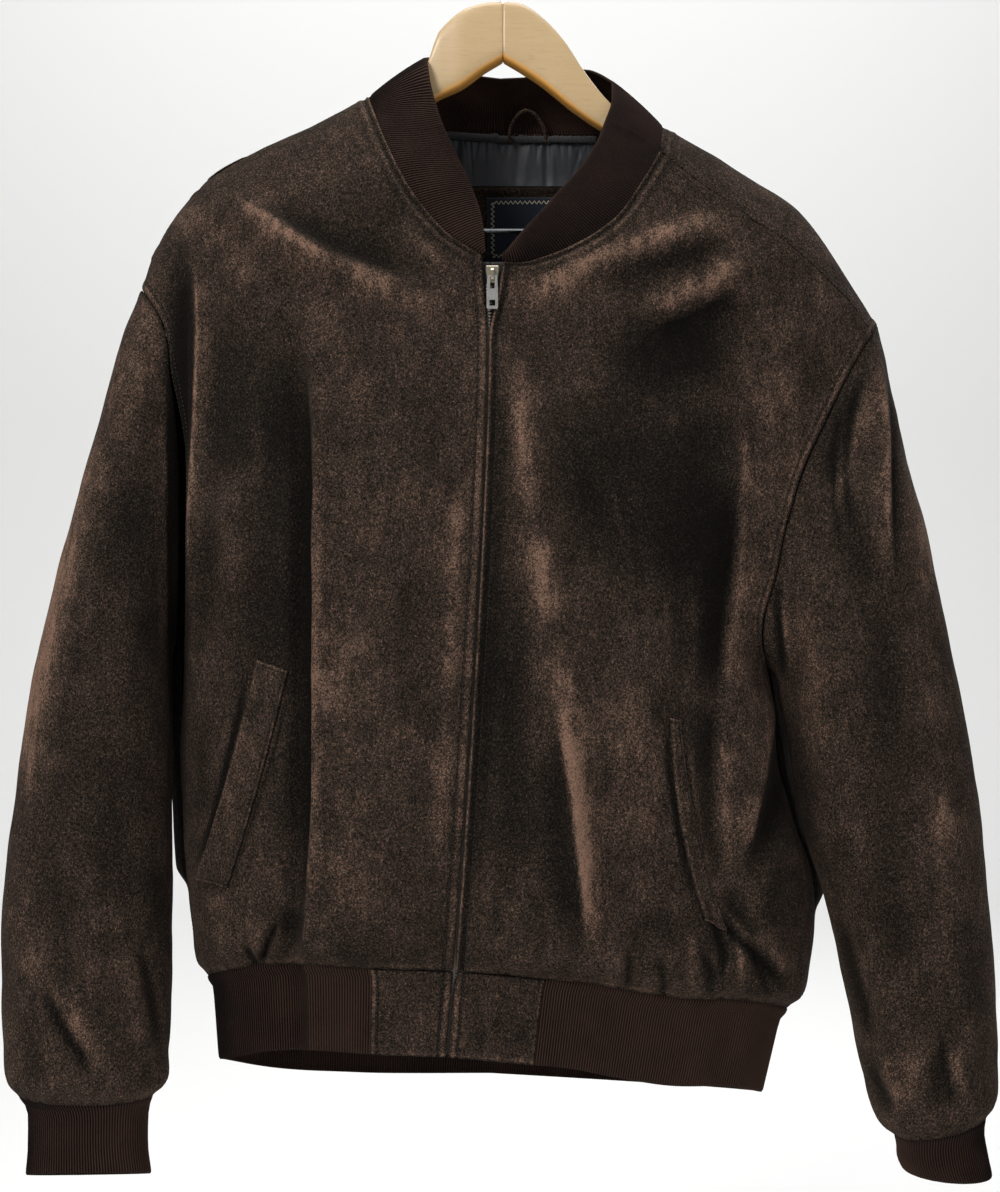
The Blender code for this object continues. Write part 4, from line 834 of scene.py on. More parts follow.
# Soft folds: height in mm, width on the line's left and right in squares, then column and row along the fold.
FOLDS = {
    "front_right": [
        (5.0, 9, 24, (222, 182), (254, 206), (292, 235), (330, 258), (376, 277), (430, 292)),
        (-4.0, 18, 9, (256, 190), (292, 218), (332, 242), (380, 260), (430, 270)),
        (-2.4, 18, 16, (214, 214), (250, 236), (290, 268), (322, 300)),
        (2.0, 22, 26, (352, 226), (392, 256), (436, 282), (474, 300)),
        (-1.8, 14, 14, (330, 190), (360, 232), (408, 268), (452, 292)),
        (3.6, 10, 4, (187, 222), (195, 270), (199, 330), (197, 400), (193, 470), (190, 560), (188, 660)),
        (-5.5, 5, 10, (178, 216), (183, 290), (182, 400), (179, 520), (178, 640), (182, 760)),
        (-2.6, 12, 14, (208, 300), (214, 380), (212, 470), (206, 570), (200, 660)),
        (-4.6, 2.2, 12, (302, 330), (307, 420), (308.5, 500), (308.5, 620), (308.5, 740), (306, 840), (301, 940),
         (299, 975)),
        (2.6, 12, 2.2, (310, 340), (314, 420), (315, 500), (315, 620), (315, 740), (312, 850), (307, 940), (305, 975)),
        (-2.2, 16, 20, (268, 380), (272, 470), (270, 560), (276, 640)),
        (1.6, 14, 20, (236, 420), (240, 520), (238, 620), (232, 720)),
        (1.5, 26, 30, (352, 420), (366, 560), (372, 700), (366, 840)),
        (-1.5, 22, 26, (412, 470), (418, 600), (420, 740), (414, 880)),
        (1.4, 12, 16, (446, 330), (452, 430), (452, 540), (446, 640)),
        (2.6, 6, 9, (240, 900), (252, 930), (264, 958)),
        (-5.0, 3.5, 4, (279, 918), (268, 944), (257, 972)),
        (-3.6, 3, 3.5, (246, 942), (251, 955), (257, 974)),
        (-3.0, 10, 10, (292, 900), (290, 935), (286, 966)),
        (1.8, 8, 8, (222, 930), (228, 950), (232, 972)),
        (-1.6, 7, 8, (300, 905), (296, 935), (298, 966)),
        (1.5, 12, 10, (330, 925), (334, 948), (332, 970)),
        (-1.3, 10, 12, (398, 930), (404, 950), (402, 972)),
        (-1.6, 12, 10, (196, 700), (204, 780), (206, 850)),
    ],
    "front_left": [
        (2.6, 14, 2.5, (552, 690), (566, 760), (577, 840), (585, 920), (588, 978)),
        (4.4, 14, 16, (512, 300), (546, 286), (590, 264), (640, 246), (690, 229), (740, 214)),
        (-3.4, 10, 14, (590, 286), (640, 270), (690, 256), (736, 242)),
        (4.6, 16, 10, (628, 314), (672, 302), (708, 286), (738, 268), (768, 252)),
        (-4.0, 7, 22, (640, 338), (684, 326), (720, 308), (744, 290)),
        (1.8, 14, 14, (560, 252), (600, 244), (640, 220), (668, 190)),
        (-4.5, 3, 20, (738, 470), (734, 560), (726, 640), (717, 712)),
        (-3.5, 3, 16, (718, 690), (714, 760), (716, 830), (724, 885)),
        (3.0, 16, 4, (744, 460), (741, 540), (734, 620), (725, 700), (722, 780), (730, 860)),
        (2.6, 14, 12, (520, 350), (524, 430), (532, 520), (546, 600), (556, 680)),
        (3.2, 18, 8, (552, 640), (562, 700), (573, 770), (582, 850), (592, 920), (598, 972)),
        (-3.0, 8, 18, (540, 720), (552, 800), (562, 880), (572, 960)),
        (-1.8, 9, 8, (504, 340), (500, 460), (494, 600), (484, 760), (472, 950)),
        (2.4, 7, 8, (734, 206), (752, 200), (774, 196)),
        (2.0, 6, 8, (776, 226), (786, 220), (798, 218)),
        (-2.0, 7, 8, (744, 222), (764, 214), (784, 210)),
        (2.2, 9, 18, (742, 288), (748, 340), (744, 400), (742, 470), (738, 560), (732, 640)),
        (-3.6, 3, 6, (704, 884), (716, 920), (727, 956), (720, 986)),
        (2.2, 9, 3, (736, 926), (742, 958), (736, 988)),
        (-3.2, 2.5, 5, (714, 908), (742, 943), (768, 966), (790, 992)),
        (-2.4, 3, 4, (752, 950), (762, 975), (768, 1000)),
        (3.4, 5, 14, (774, 640), (770, 730), (763, 796), (751, 840), (738, 880)),
        (-3.6, 9, 12, (786, 690), (782, 770), (770, 832), (752, 886), (738, 930)),
        (2.4, 22, 26, (536, 420), (542, 500), (540, 590), (552, 660), (562, 740), (574, 830), (582, 920)),
        (-2.0, 18, 22, (508, 380), (512, 500), (508, 620), (516, 740), (512, 860)),
        (-1.8, 20, 24, (600, 430), (616, 540), (622, 650)),
        (1.8, 24, 22, (650, 560), (646, 660), (640, 760), (640, 860)),
        (-2.2, 12, 16, (700, 470), (690, 560), (684, 640), (676, 712)),
        (-2.0, 9, 10, (640, 900), (650, 940), (640, 978)),
        (2.2, 14, 16, (610, 905), (622, 945), (618, 980)),
        (2.4, 14, 16, (664, 920), (676, 955), (668, 992)),
        (-3.4, 4, 5, (700, 945), (712, 972), (710, 1000)),
        (-3.4, 4, 5, (628, 940), (630, 965), (626, 994)),
        (-3.4, 4, 5, (658, 950), (664, 978), (662, 1003)),
        (2.2, 10, 12, (728, 950), (742, 975), (744, 1000)),
        (-2.4, 7, 8, (740, 930), (762, 960), (790, 992)),
        (2.2, 9, 10, (752, 926), (776, 952), (800, 976)),
        (-1.6, 9, 9, (590, 930), (592, 955), (590, 980)),
        (1.6, 11, 12, (500, 925), (506, 950), (504, 974)),
        (-1.4, 9, 9, (538, 930), (544, 956), (540, 978)),
        (2.0, 9, 10, (800, 470), (780, 520), (766, 580), (760, 620)),
    ],
    "sleeve_right": [
        (3.0, 18, 24, (112, 420), (96, 500), (76, 590), (54, 690), (38, 780)),
        (-2.6, 20, 20, (140, 430), (128, 520), (112, 610), (100, 700)),
        (2.2, 16, 18, (158, 400), (152, 500), (146, 600), (140, 700)),
        (-2.2, 14, 16, (70, 760), (52, 830), (40, 900), (36, 980)),
        (3.0, 14, 16, (36, 930), (52, 1000), (74, 1040), (92, 1086)),
        (-4.0, 3, 10, (44, 980), (64, 1026), (86, 1058), (94, 1088)),
        (-2.6, 9, 10, (134, 930), (148, 985), (156, 1030), (160, 1070)),
        (2.6, 12, 12, (118, 900), (132, 960), (140, 1020), (142, 1078)),
        (2.0, 14, 16, (98, 800), (92, 860), (96, 930), (104, 1000)),
        (-1.8, 12, 14, (124, 760), (116, 830), (112, 900)),
        (2.0, 12, 12, (14, 880), (20, 950), (26, 1020), (34, 1082)),
        (-1.8, 8, 9, (24, 1010), (32, 1050), (38, 1088)),
        (1.6, 10, 10, (110, 1040), (116, 1066), (116, 1092)),
        (-1.6, 6, 7, (120, 1056), (126, 1076), (126, 1094)),
        (1.8, 12, 14, (150, 300), (150, 350), (140, 420)),
    ],
    "sleeve_left": [
        (3.0, 14, 18, (876, 332), (886, 402), (888, 479), (890, 560), (892, 640)),
        (2.6, 2, 8, (874, 345), (882, 390), (886, 440), (887, 500), (887, 560)),
        (-3.0, 7, 2, (881, 336), (888, 380), (892, 430), (893, 500), (895, 580)),
        (-2.6, 4, 4, (866, 362), (850, 420), (846, 470), (852, 540)),
        (-2.2, 3, 3, (842, 400), (834, 450), (834, 500), (844, 560)),
        (-2.6, 14, 14, (858, 400), (862, 470), (872, 540), (880, 620)),
        (2.4, 14, 16, (842, 450), (862, 510), (892, 556), (912, 590)),
        (-2.2, 12, 12, (838, 500), (850, 560), (878, 620), (900, 680)),
        (2.8, 16, 16, (812, 500), (808, 580), (816, 660), (828, 740), (842, 820)),
        (-2.4, 16, 14, (792, 600), (796, 680), (806, 760), (824, 840)),
        (-2.0, 14, 14, (918, 520), (930, 620), (938, 720), (942, 820)),
        (2.2, 16, 18, (936, 760), (944, 830), (946, 910), (940, 990)),
        (-2.6, 10, 12, (836, 900), (852, 946), (870, 1000), (880, 1050)),
        (2.8, 12, 12, (850, 900), (866, 950), (886, 1010), (900, 1070)),
        (-2.6, 8, 9, (862, 1040), (876, 1080), (892, 1118)),
        (2.2, 9, 10, (878, 1050), (894, 1086), (906, 1120)),
        (-2.4, 9, 11, (948, 1010), (944, 1060), (946, 1090), (952, 1116)),
        (2.4, 11, 12, (966, 980), (968, 1040), (966, 1080), (964, 1112)),
        (1.8, 9, 9, (922, 1040), (926, 1080), (930, 1122)),
        (-1.8, 7, 7, (934, 1060), (936, 1090), (938, 1118)),
        (-1.6, 14, 16, (902, 700), (898, 800), (906, 900)),
    ],
    "back": [
        (2.6, 30, 34, (230, 190), (300, 250), (380, 300), (450, 330)),
        (-2.4, 26, 24, (210, 260), (290, 320), (370, 360)),
        (2.6, 32, 30, (780, 210), (700, 270), (620, 316), (560, 336)),
        (-2.4, 24, 26, (800, 280), (720, 340), (640, 372)),
        (2.2, 30, 34, (236, 520), (256, 640), (262, 740), (256, 860)),
        (-1.8, 22, 28, (316, 560), (330, 680), (326, 800), (318, 920)),
        (1.8, 34, 24, (400, 640), (420, 740), (416, 840), (404, 930)),
        (-1.5, 40, 30, (500, 420), (512, 560), (500, 700)),
        (1.9, 26, 34, (590, 690), (584, 780), (592, 860), (600, 930)),
        (-2.0, 26, 20, (668, 560), (690, 660), (686, 780), (688, 900)),
        (2.2, 30, 24, (762, 430), (742, 570), (736, 720), (744, 870)),
        (-1.8, 10, 11, (280, 925), (286, 955), (284, 986)),
        (2.0, 12, 12, (350, 920), (346, 955), (350, 988)),
        (-2.0, 10, 10, (440, 930), (446, 960), (444, 990)),
        (1.8, 12, 12, (540, 930), (536, 960), (540, 992)),
        (-2.0, 10, 10, (626, 935), (632, 965), (628, 996)),
        (2.0, 12, 12, (706, 930), (702, 965), (708, 1000)),
        (-1.8, 9, 9, (764, 940), (768, 970), (766, 1004)),
    ],
}

# Painted highlights on crests and edges and painted shade in valleys, seams, recesses and behind the sleeves, partly
# the pile's own light and dark patches: strength (lighter above 0, darker below), width on the stroke's left and right
# in squares, then column and row.
NAP_AND_SHADE_STROKES = {
    "front_right": [
        (-1.5, 2, 3.5, (250, 658), (240, 712), (226, 770), (211, 825), (193, 881)),
        (-0.7, 1.8, 1.8, (293, 672), (277, 740), (262, 790), (246, 840), (231, 888)),
        (-0.6, 1.8, 1.8, (196, 884), (214, 888), (230, 892)),
        (0.78, 2.5, 5, (226, 184), (246, 204), (270, 220), (296, 237), (320, 252), (344, 264)),
        (0.28, 6, 14, (236, 196), (270, 222), (300, 242), (336, 262)),
        (0.50, 9, 15, (336, 262), (363, 274), (389, 286), (416, 297), (456, 305)),
        (-0.55, 18, 4, (262, 202), (296, 227), (334, 249), (380, 266), (422, 275)),
        (0.45, 4, 5, (404, 226), (420, 243), (436, 258), (452, 274)),
        (-0.30, 24, 24, (330, 180), (370, 205), (410, 232)),
        (0.30, 22, 22, (186, 200), (204, 226), (222, 250)),
        (0.25, 14, 14, (236, 240), (244, 262), (248, 290)),
        (-0.55, 30, 40, (268, 262), (272, 350), (276, 450), (276, 560), (278, 680), (276, 760)),
        (-0.35, 26, 22, (226, 300), (222, 380), (222, 440), (226, 500)),
        (-0.30, 20, 20, (284, 340), (286, 420), (284, 480)),
        (0.34, 7, 7, (254, 385), (258, 440), (256, 500), (258, 560)),
        (0.24, 12, 12, (230, 460), (226, 530), (232, 600)),
        (-0.80, 3, 13, (301, 340), (306, 420), (307, 500), (307, 620), (307, 740), (305, 840), (300, 930), (297, 965)),
        (-0.9, 1.3, 4, (303, 330), (308, 410), (309.5, 500), (309.5, 620), (309.5, 740), (307, 850), (302.5, 935),
         (300, 970)),
        (0.55, 9, 1.3, (307, 345), (312, 420), (313, 500), (313, 620), (313, 740), (310.5, 850), (306, 935),
         (303, 968)),
        (0.04, 70, 50, (360, 400), (372, 560), (376, 700), (370, 860)),
        (0.30, 30, 30, (340, 620), (336, 680), (330, 730)),
        (0.22, 24, 24, (350, 440), (362, 480), (372, 520)),
        (-0.20, 18, 16, (382, 470), (384, 492), (400, 500)),
        (-0.22, 20, 18, (420, 330), (432, 400), (436, 470)),
        (0.50, 8, 8, (458, 470), (456, 540), (452, 620), (446, 720)),
        (0.30, 10, 9, (444, 700), (440, 800), (436, 900)),
        (-0.18, 18, 18, (400, 560), (404, 640), (398, 740)),
        (-1.9, 6, 16, (181, 212), (186, 290), (186, 400), (183, 520), (181, 640), (184, 770)),
        (1.1, 1.8, 1.6, (188, 236), (196, 275), (198, 318), (197, 386), (194, 457), (191, 530), (189, 610)),
        (0.25, 9, 3, (200, 250), (204, 320), (203, 400), (199, 480)),
        (-0.35, 16, 16, (206, 500), (202, 580), (202, 660)),
        (-0.30, 13, 14, (204, 690), (200, 760), (204, 830)),
        (-0.24, 12, 12, (292, 700), (286, 790), (272, 880)),
        (0.24, 16, 14, (212, 880), (220, 912), (226, 950)),
        (0.35, 7, 9, (284, 930), (292, 950), (296, 966)),
        (-0.9, 2.5, 3, (279, 918), (268, 944), (257, 972)),
        (-0.8, 2.5, 2.5, (246, 942), (251, 955), (257, 974)),
        (0.45, 6, 6, (262, 926), (258, 942), (256, 954)),
        (-0.5, 9, 9, (292, 900), (290, 935), (286, 966)),
        (-0.25, 30, 20, (400, 940), (360, 950), (330, 952)),
        (0.22, 40, 20, (320, 880), (360, 900), (400, 905)),
    ],
    "front_left": [
        (0.5, 11, 1.5, (552, 690), (566, 760), (577, 840), (585, 920), (588, 978)),
        (-0.6, 1.2, 12, (548, 690), (562, 760), (573, 840), (581, 920), (584, 978)),
        (-1.3, 1.5, 3.5, (665, 716), (670, 770), (677, 820), (687, 870), (701, 922)),
        (0.55, 4, 2, (686, 722), (693, 780), (700, 830), (710, 880), (731, 934)),
        (0.75, 10, 10, (512, 302), (546, 286), (590, 262), (640, 243), (690, 225), (736, 212)),
        (0.45, 12, 12, (528, 300), (552, 290), (580, 276)),
        (0.55, 17, 8, (630, 316), (670, 304), (706, 286), (736, 268), (762, 254)),
        (-0.75, 5, 20, (650, 330), (690, 318), (722, 300), (742, 284)),
        (-0.40, 8, 14, (620, 268), (660, 262), (700, 250), (730, 238)),
        (0.75, 11, 12, (518, 350), (522, 420), (528, 480), (532, 530)),
        (0.85, 13, 12, (532, 530), (540, 560), (546, 592), (550, 626)),
        (0.66, 13, 6, (550, 620), (560, 690), (571, 760), (580, 840), (592, 930), (600, 970)),
        (0.30, 40, 30, (600, 640), (618, 740), (632, 850), (648, 950)),
        (-0.60, 30, 30, (606, 330), (650, 356), (700, 350), (730, 330)),
        (-0.30, 46, 60, (668, 352), (690, 440), (694, 530), (684, 640)),
        (-0.42, 34, 40, (742, 296), (694, 346), (644, 396), (602, 446), (566, 510)),
        (-0.42, 50, 40, (620, 420), (650, 480), (680, 540), (700, 600)),
        (-0.28, 44, 34, (566, 420), (600, 510), (630, 600), (650, 680)),
        (0.30, 12, 12, (574, 420), (600, 470), (630, 530), (650, 590)),
        (0.26, 10, 10, (640, 384), (664, 412), (696, 438)),
        (-0.38, 20, 34, (696, 400), (706, 460), (706, 520)),
        (-0.90, 5, 34, (734, 470), (730, 560), (722, 640), (714, 710)),
        (-0.55, 5, 24, (714, 690), (710, 760), (712, 830), (720, 890)),
        (0.60, 9, 7, (742, 430), (745, 462), (743, 505)),
        (0.50, 14, 3, (744, 500), (738, 560), (731, 630), (725, 690)),
        (0.42, 11, 3, (724, 700), (721, 770), (724, 830), (732, 880)),
        (0.28, 36, 20, (764, 300), (776, 380), (776, 460), (764, 540)),
        (0.22, 16, 16, (752, 640), (752, 710), (748, 770)),
        (-0.45, 9, 7, (503, 330), (500, 460), (493, 600), (484, 760), (472, 950)),
        (-0.50, 22, 24, (508, 560), (508, 680), (512, 800), (518, 920)),
        (-0.55, 12, 16, (548, 730), (556, 820), (564, 900), (574, 965)),
        (-0.25, 22, 24, (568, 400), (584, 470), (600, 540)),
        (0.22, 18, 18, (566, 340), (580, 372), (590, 400)),
        (0.34, 5, 8, (662, 560), (668, 620), (664, 690)),
        (0.30, 4, 9, (690, 560), (698, 620), (696, 700)),
        (-0.35, 6, 4, (612, 470), (632, 530), (644, 600)),
        (0.20, 20, 20, (610, 560), (640, 600), (640, 660)),
        (-1.2, 2.5, 5, (704, 884), (716, 920), (727, 956), (720, 986)),
        (0.45, 9, 2, (733, 926), (740, 958), (734, 985)),
        (-0.9, 3, 3, (752, 950), (762, 975), (768, 998)),
        (0.5, 6, 6, (690, 930), (694, 960), (690, 984)),
        (-1.5, 24, 3.5, (781, 640), (779, 700), (774, 750), (766, 796), (754, 840), (741, 880)),
        (0.40, 3, 10, (776, 690), (768, 750), (760, 796), (748, 838), (736, 876)),
        (-0.45, 18, 14, (782, 850), (774, 900), (772, 940)),
        (-1.2, 2, 4.5, (714, 908), (742, 943), (768, 966), (790, 992)),
        (0.5, 5, 2, (722, 906), (748, 936), (774, 958), (796, 980)),
        (-0.70, 10, 10, (724, 880), (738, 916), (760, 946), (786, 978)),
        (0.40, 8, 8, (752, 930), (772, 950), (792, 970)),
        (0.30, 12, 10, (606, 968), (640, 984), (690, 990), (740, 990)),
        (-0.30, 14, 12, (640, 905), (664, 930), (690, 950)),
        (-0.6, 3.5, 4, (700, 950), (712, 974), (710, 1002)),
        (-0.6, 3.5, 4, (628, 945), (630, 968), (626, 996)),
        (-0.6, 3.5, 4, (658, 955), (664, 980), (662, 1005)),
        (-0.24, 12, 12, (660, 640), (664, 700), (674, 780), (690, 860)),
        (0.28, 9, 9, (700, 760), (706, 810), (718, 860)),
        (0.35, 12, 14, (736, 196), (754, 202), (780, 214)),
        (-0.30, 8, 9, (724, 200), (744, 216), (776, 236)),
        (0.30, 12, 14, (800, 262), (824, 290), (846, 320)),
        (-0.30, 14, 14, (812, 330), (812, 380), (800, 420)),
    ],
    "sleeve_right": [
        (-0.20, 60, 60, (120, 360), (112, 500), (100, 640), (96, 800), (96, 960)),
        (1.05, 16, 22, (106, 410), (82, 490), (58, 580), (40, 670), (26, 760), (18, 830)),
        (0.30, 22, 20, (130, 330), (122, 380), (108, 430)),
        (0.20, 24, 24, (110, 560), (104, 640), (96, 720)),
        (-2.6, 16, 2.2, (161, 330), (165, 365), (169, 410), (170, 480), (171, 600), (171, 700), (169, 790), (164, 830)),
        (0.35, 2.5, 7, (156, 350), (161, 400), (163, 480), (164, 600), (163, 700)),
        (-0.25, 22, 18, (136, 470), (140, 580), (138, 700)),
        (-0.22, 22, 22, (100, 780), (104, 860), (112, 930)),
        (-0.28, 18, 18, (60, 860), (60, 930), (70, 990)),
        (0.28, 12, 12, (24, 880), (32, 950), (44, 1010)),
        (-1.2, 2.2, 6, (42, 985), (62, 1026), (82, 1056), (90, 1080)),
        (0.45, 9, 4, (50, 975), (72, 1018), (94, 1056), (104, 1082)),
        (-0.60, 4, 6, (138, 941), (150, 985), (156, 1020), (160, 1057)),
        (0.30, 8, 8, (124, 950), (134, 1000), (138, 1060)),
        (-0.25, 12, 10, (20, 1000), (30, 1046), (40, 1084)),
        (-0.30, 14, 14, (150, 860), (158, 900), (160, 950)),
        (0.22, 16, 14, (150, 290), (150, 320), (140, 350)),
    ],
    "sleeve_left": [
        (-0.60, 10, 14, (868, 356), (846, 410), (832, 460), (822, 510)),
        (0.45, 9, 9, (872, 372), (858, 426), (842, 476), (826, 530)),
        (-0.95, 6, 2, (880, 338), (887, 380), (891, 430), (892, 500), (894, 590)),
        (0.8, 1.8, 3.5, (875, 350), (882, 390), (886, 440), (886.5, 500), (886, 550)),
        (-0.7, 4, 4, (866, 362), (850, 420), (845, 470), (850, 540)),
        (-0.6, 3, 3, (842, 400), (833, 450), (833, 500), (842, 560)),
        (-1.1, 3, 5, (781, 572), (778, 600), (781, 640), (784, 690)),
        (0.6, 5, 3, (786, 590), (784, 620), (788, 660)),
        (0.40, 12, 10, (904, 400), (914, 470), (926, 550), (940, 640)),
        (0.35, 14, 12, (794, 560), (802, 640), (812, 720), (828, 800)),
        (-0.35, 12, 14, (846, 470), (858, 540), (872, 600)),
        (-0.28, 16, 16, (878, 600), (884, 680), (892, 760)),
        (0.30, 16, 18, (910, 590), (930, 680), (944, 760)),
        (-0.15, 50, 50, (860, 600), (890, 760), (920, 940)),
        (-0.55, 8, 12, (784, 690), (792, 760), (806, 830), (820, 880)),
        (0.30, 10, 10, (842, 760), (856, 830), (866, 890)),
        (-0.25, 16, 18, (878, 840), (892, 920), (902, 990)),
        (0.40, 10, 10, (936, 770), (942, 820), (940, 880)),
        (-0.32, 12, 12, (962, 880), (972, 960), (976, 1040)),
        (-0.70, 4, 7, (834, 910), (846, 946), (862, 1000), (872, 1050)),
        (0.35, 8, 6, (850, 930), (866, 990), (880, 1050)),
        (-0.60, 4, 6, (866, 1062), (880, 1090), (894, 1116)),
        (0.35, 8, 6, (880, 1054), (894, 1084), (908, 1112)),
        (-0.65, 4, 5, (944, 1030), (944, 1064), (950, 1090), (958, 1114)),
        (0.45, 8, 6, (954, 1040), (956, 1070), (964, 1100)),
        (0.30, 14, 14, (908, 1040), (914, 1080), (922, 1110)),
        (-0.30, 10, 10, (930, 1050), (932, 1084), (936, 1116)),
    ],
    "back": [
        (0.55, 20, 22, (240, 200), (310, 250), (390, 300), (460, 330)),
        (-0.50, 18, 24, (250, 180), (330, 226), (420, 268)),
        (0.55, 20, 20, (770, 220), (700, 266), (620, 312), (560, 334)),
        (-0.50, 24, 18, (760, 200), (680, 240), (600, 280)),
        (0.30, 30, 14, (246, 520), (262, 640), (262, 740), (256, 850)),
        (-0.35, 12, 26, (324, 570), (336, 680), (330, 800), (322, 920)),
        (0.28, 26, 12, (404, 650), (420, 740), (414, 840), (408, 920)),
        (-0.25, 34, 30, (500, 440), (510, 560), (498, 700)),
        (0.30, 12, 30, (592, 700), (586, 780), (594, 860), (602, 930)),
        (-0.38, 26, 10, (672, 570), (692, 660), (688, 780), (690, 900)),
        (0.28, 20, 24, (762, 430), (744, 570), (740, 720)),
        (0.25, 60, 50, (500, 190), (504, 260), (500, 330)),
        (-0.25, 40, 40, (380, 340), (390, 420), (384, 480)),
        (-0.25, 40, 40, (620, 350), (610, 430), (616, 490)),
    ],
}


def gathers(seed, run, away, every, deep, reach, total):
    """Puckers where cloth is eased onto a seam, uneven in place, width and depth. run is distance along the seam."""
    rng = np.random.default_rng(seed)
    lift = np.zeros(run.shape)
    at = 0.0
    while at < total:
        at += every * rng.uniform(0.55, 1.6)
        wide, tall, long = every * rng.uniform(0.16, 0.32), deep * rng.uniform(0.35, 1.0), reach * rng.uniform(0.5, 1.3)
        slope = rng.uniform(-0.25, 0.25)
        lift -= tall * bell((run - at - slope * away) / wide) * np.exp(-away / long)
    return lift * step(away / 2.0 + 0.2)


def ridges(away, *rows):
    """Ridges and troughs beside a seam. Each is its height, its distance from the seam and its width."""
    return sum(height * bell((away - at) / wide) for height, at, wide in rows)


def seam_profile(away, over=0.0):
    """Cloth beside a seam: it dips into the seam and stands up over its turned-in edge by over."""
    return -0.9 * bell(away / 0.9) + over * step(away / 2.2) * step((9.5 - away) / 2.5)


def stitch_dip(away, at):
    return -0.32 * bell((away - at) / 0.8)


# Rows of stitching, in from their seams.
NECK_ROW = 7.0  # beside the collar and the zip
SEAM_ROWS, ARMHOLE_ROWS = (2.0, 7.2), (2.0, 7.6)
TAB_ROWS = (("left", 6.6), ("right", 4.7), ("end", 5.0))  # from the zip, the knit and the free edge
WELT_ROWS = (("right", 2.0), ("start", 2.2), ("end", 2.2))

# The turned edge along the collar, its lift and its painted light and shade: a lip with a painted highlight, a trough
# with painted shade and a stitched ridge painted light.
NECK_EDGE = (
    [(-0.9, 0, 0.8), (0.6, 1.6, 1.2), (-0.8, 4.4, 1.6), (0.7, 8.0, 1.9)],
    [(0.5, 1.0, 0.9), (-0.42, 3.9, 1.6), (0.34, 7.4, 1.5), (-0.25, 11.5, 2.2)],
)
# The fronts' edges at the zip, in the same way. The left one folds over the teeth.
ZIP_EDGE = {
    "right": ([(-0.8, 0, 0.7), (0.3, 3.5, 2.5)], [(-0.3, 0, 0.8), (0.34, 3.4, 2.2), (-0.75, 7.0, 0.7)]),
    "left": ([(-0.8, 0, 0.7), (0.9, 1.3, 1.0), (-0.9, 4.6, 2.2)], [(0.75, 1.2, 0.9), (-0.75, 5.0, 2.4)]),
}
# Painted shade in a seam and along its stitch lines, painted highlights on the ridges between: height, distance from
# the seam, width.
ARMHOLE_LIGHT_AND_SHADE = [(-0.6, 0, 0.9), (0.5, 4.6, 2.0), (-0.5, 1.9, 0.7), (-0.65, 7.6, 0.8), (0.25, 9.6, 1.2)]
SIDE_SEAM_SHADE = [(-0.3, 0, 1.5)]
HEM_SEAM_LIGHT_AND_SHADE = [(-0.5, 0, 1.8), (0.2, 5, 2.5)]


def soften(panel, folds, brushed_and_shaded, facing, swells=1.0):
    """Long folds, slow swells and small ripples, with what they lift painted lighter as highlight and what they sink
    painted darker as shade, strokes of painted light and shade, and patchy tone.
    """
    seen = step((facing + 0.05) / 0.35)
    fold = fold_lines(panel.column, panel.row, folds) * seen
    slow, quick = swell(panel.base), ripple(panel.base)
    panel.lift += fold + swells * (3.2 * slow + 0.55 * quick)
    # Painted highlights and shade: the listed strokes, then lighter where folds and swells stand out and darker where
    # they sink.
    panel.nap += fold_lines(panel.column, panel.row, brushed_and_shaded) * seen
    panel.nap += 0.05 * fold + 0.22 * patchy(panel.base) + 0.2 * quick + 0.3 * slow


def dress_edges(panel):
    """A body panel's side seam and armhole with their stitching, its shoulder and its hem, with painted shade in their
    grooves and painted highlights on their ridges.
    """
    arm = np.arange(len(panel.base))[:, None] >= UNDERARM_AT
    over_sleeve = seam_profile(panel.right, 0.8) + stitch_dip(panel.right, 7.6)
    panel.lift += np.where(arm, over_sleeve, seam_profile(panel.right)) + stitch_dip(panel.right, 1.8)
    panel.lift += seam_profile(panel.start) + seam_profile(panel.end)
    panel.nap += np.where(arm, ridges(panel.right, *ARMHOLE_LIGHT_AND_SHADE), ridges(panel.right, *SIDE_SEAM_SHADE))
    panel.nap += ridges(panel.start, *HEM_SEAM_LIGHT_AND_SHADE)


def close_up(side, base):
    """Brings the front's edge up to the zip line below the pull."""
    edge = base[: NECK_FRONT_AT + 1, 0]
    _, row, k = elevation(edge)
    aim = curve(ZIP_LINE, row)[:, 0] + (-1.0 if side == "right" else 0.9)
    move = (aim - MIDDLE) * SQUARE * k - edge[:, 0]
    base[: NECK_FRONT_AT + 1, :, 0] += (move * step((row - 292) / 50))[:, None] * np.exp(-((WIDE[side] / 0.07) ** 2))
    return base


def body_panels():
    """Front and back panels, with the back carried over the left shoulder to its seam, and equal lines at seams."""
    fronts = {side: close_up(side, body_grid(side, WIDE[side], DOWN, back=False)) for side in SIDES}
    backs = {side: body_grid(side, WIDE_BACK, DOWN, back=True) for side in SIDES}
    seam = at_run(WIDE["left"], fronts["left"][-1], WIDE_BACK)
    strip = strip_grid(WIDE_BACK, np.linspace(0, 1, 22)[1:], seam)
    strip[-1] = seam
    backs["left"] = np.concatenate([backs["left"], strip])
    fronts["right"][-1] = at_run(WIDE_BACK, backs["right"][-1], WIDE["right"])
    for side in SIDES:
        fronts[side][: UNDERARM_AT + 1, -1] = backs[side][: UNDERARM_AT + 1, -1]
    backs["right"][: NECK_BACK_AT + 1, 0] = backs["left"][: NECK_BACK_AT + 1, 0]
    return fronts, backs


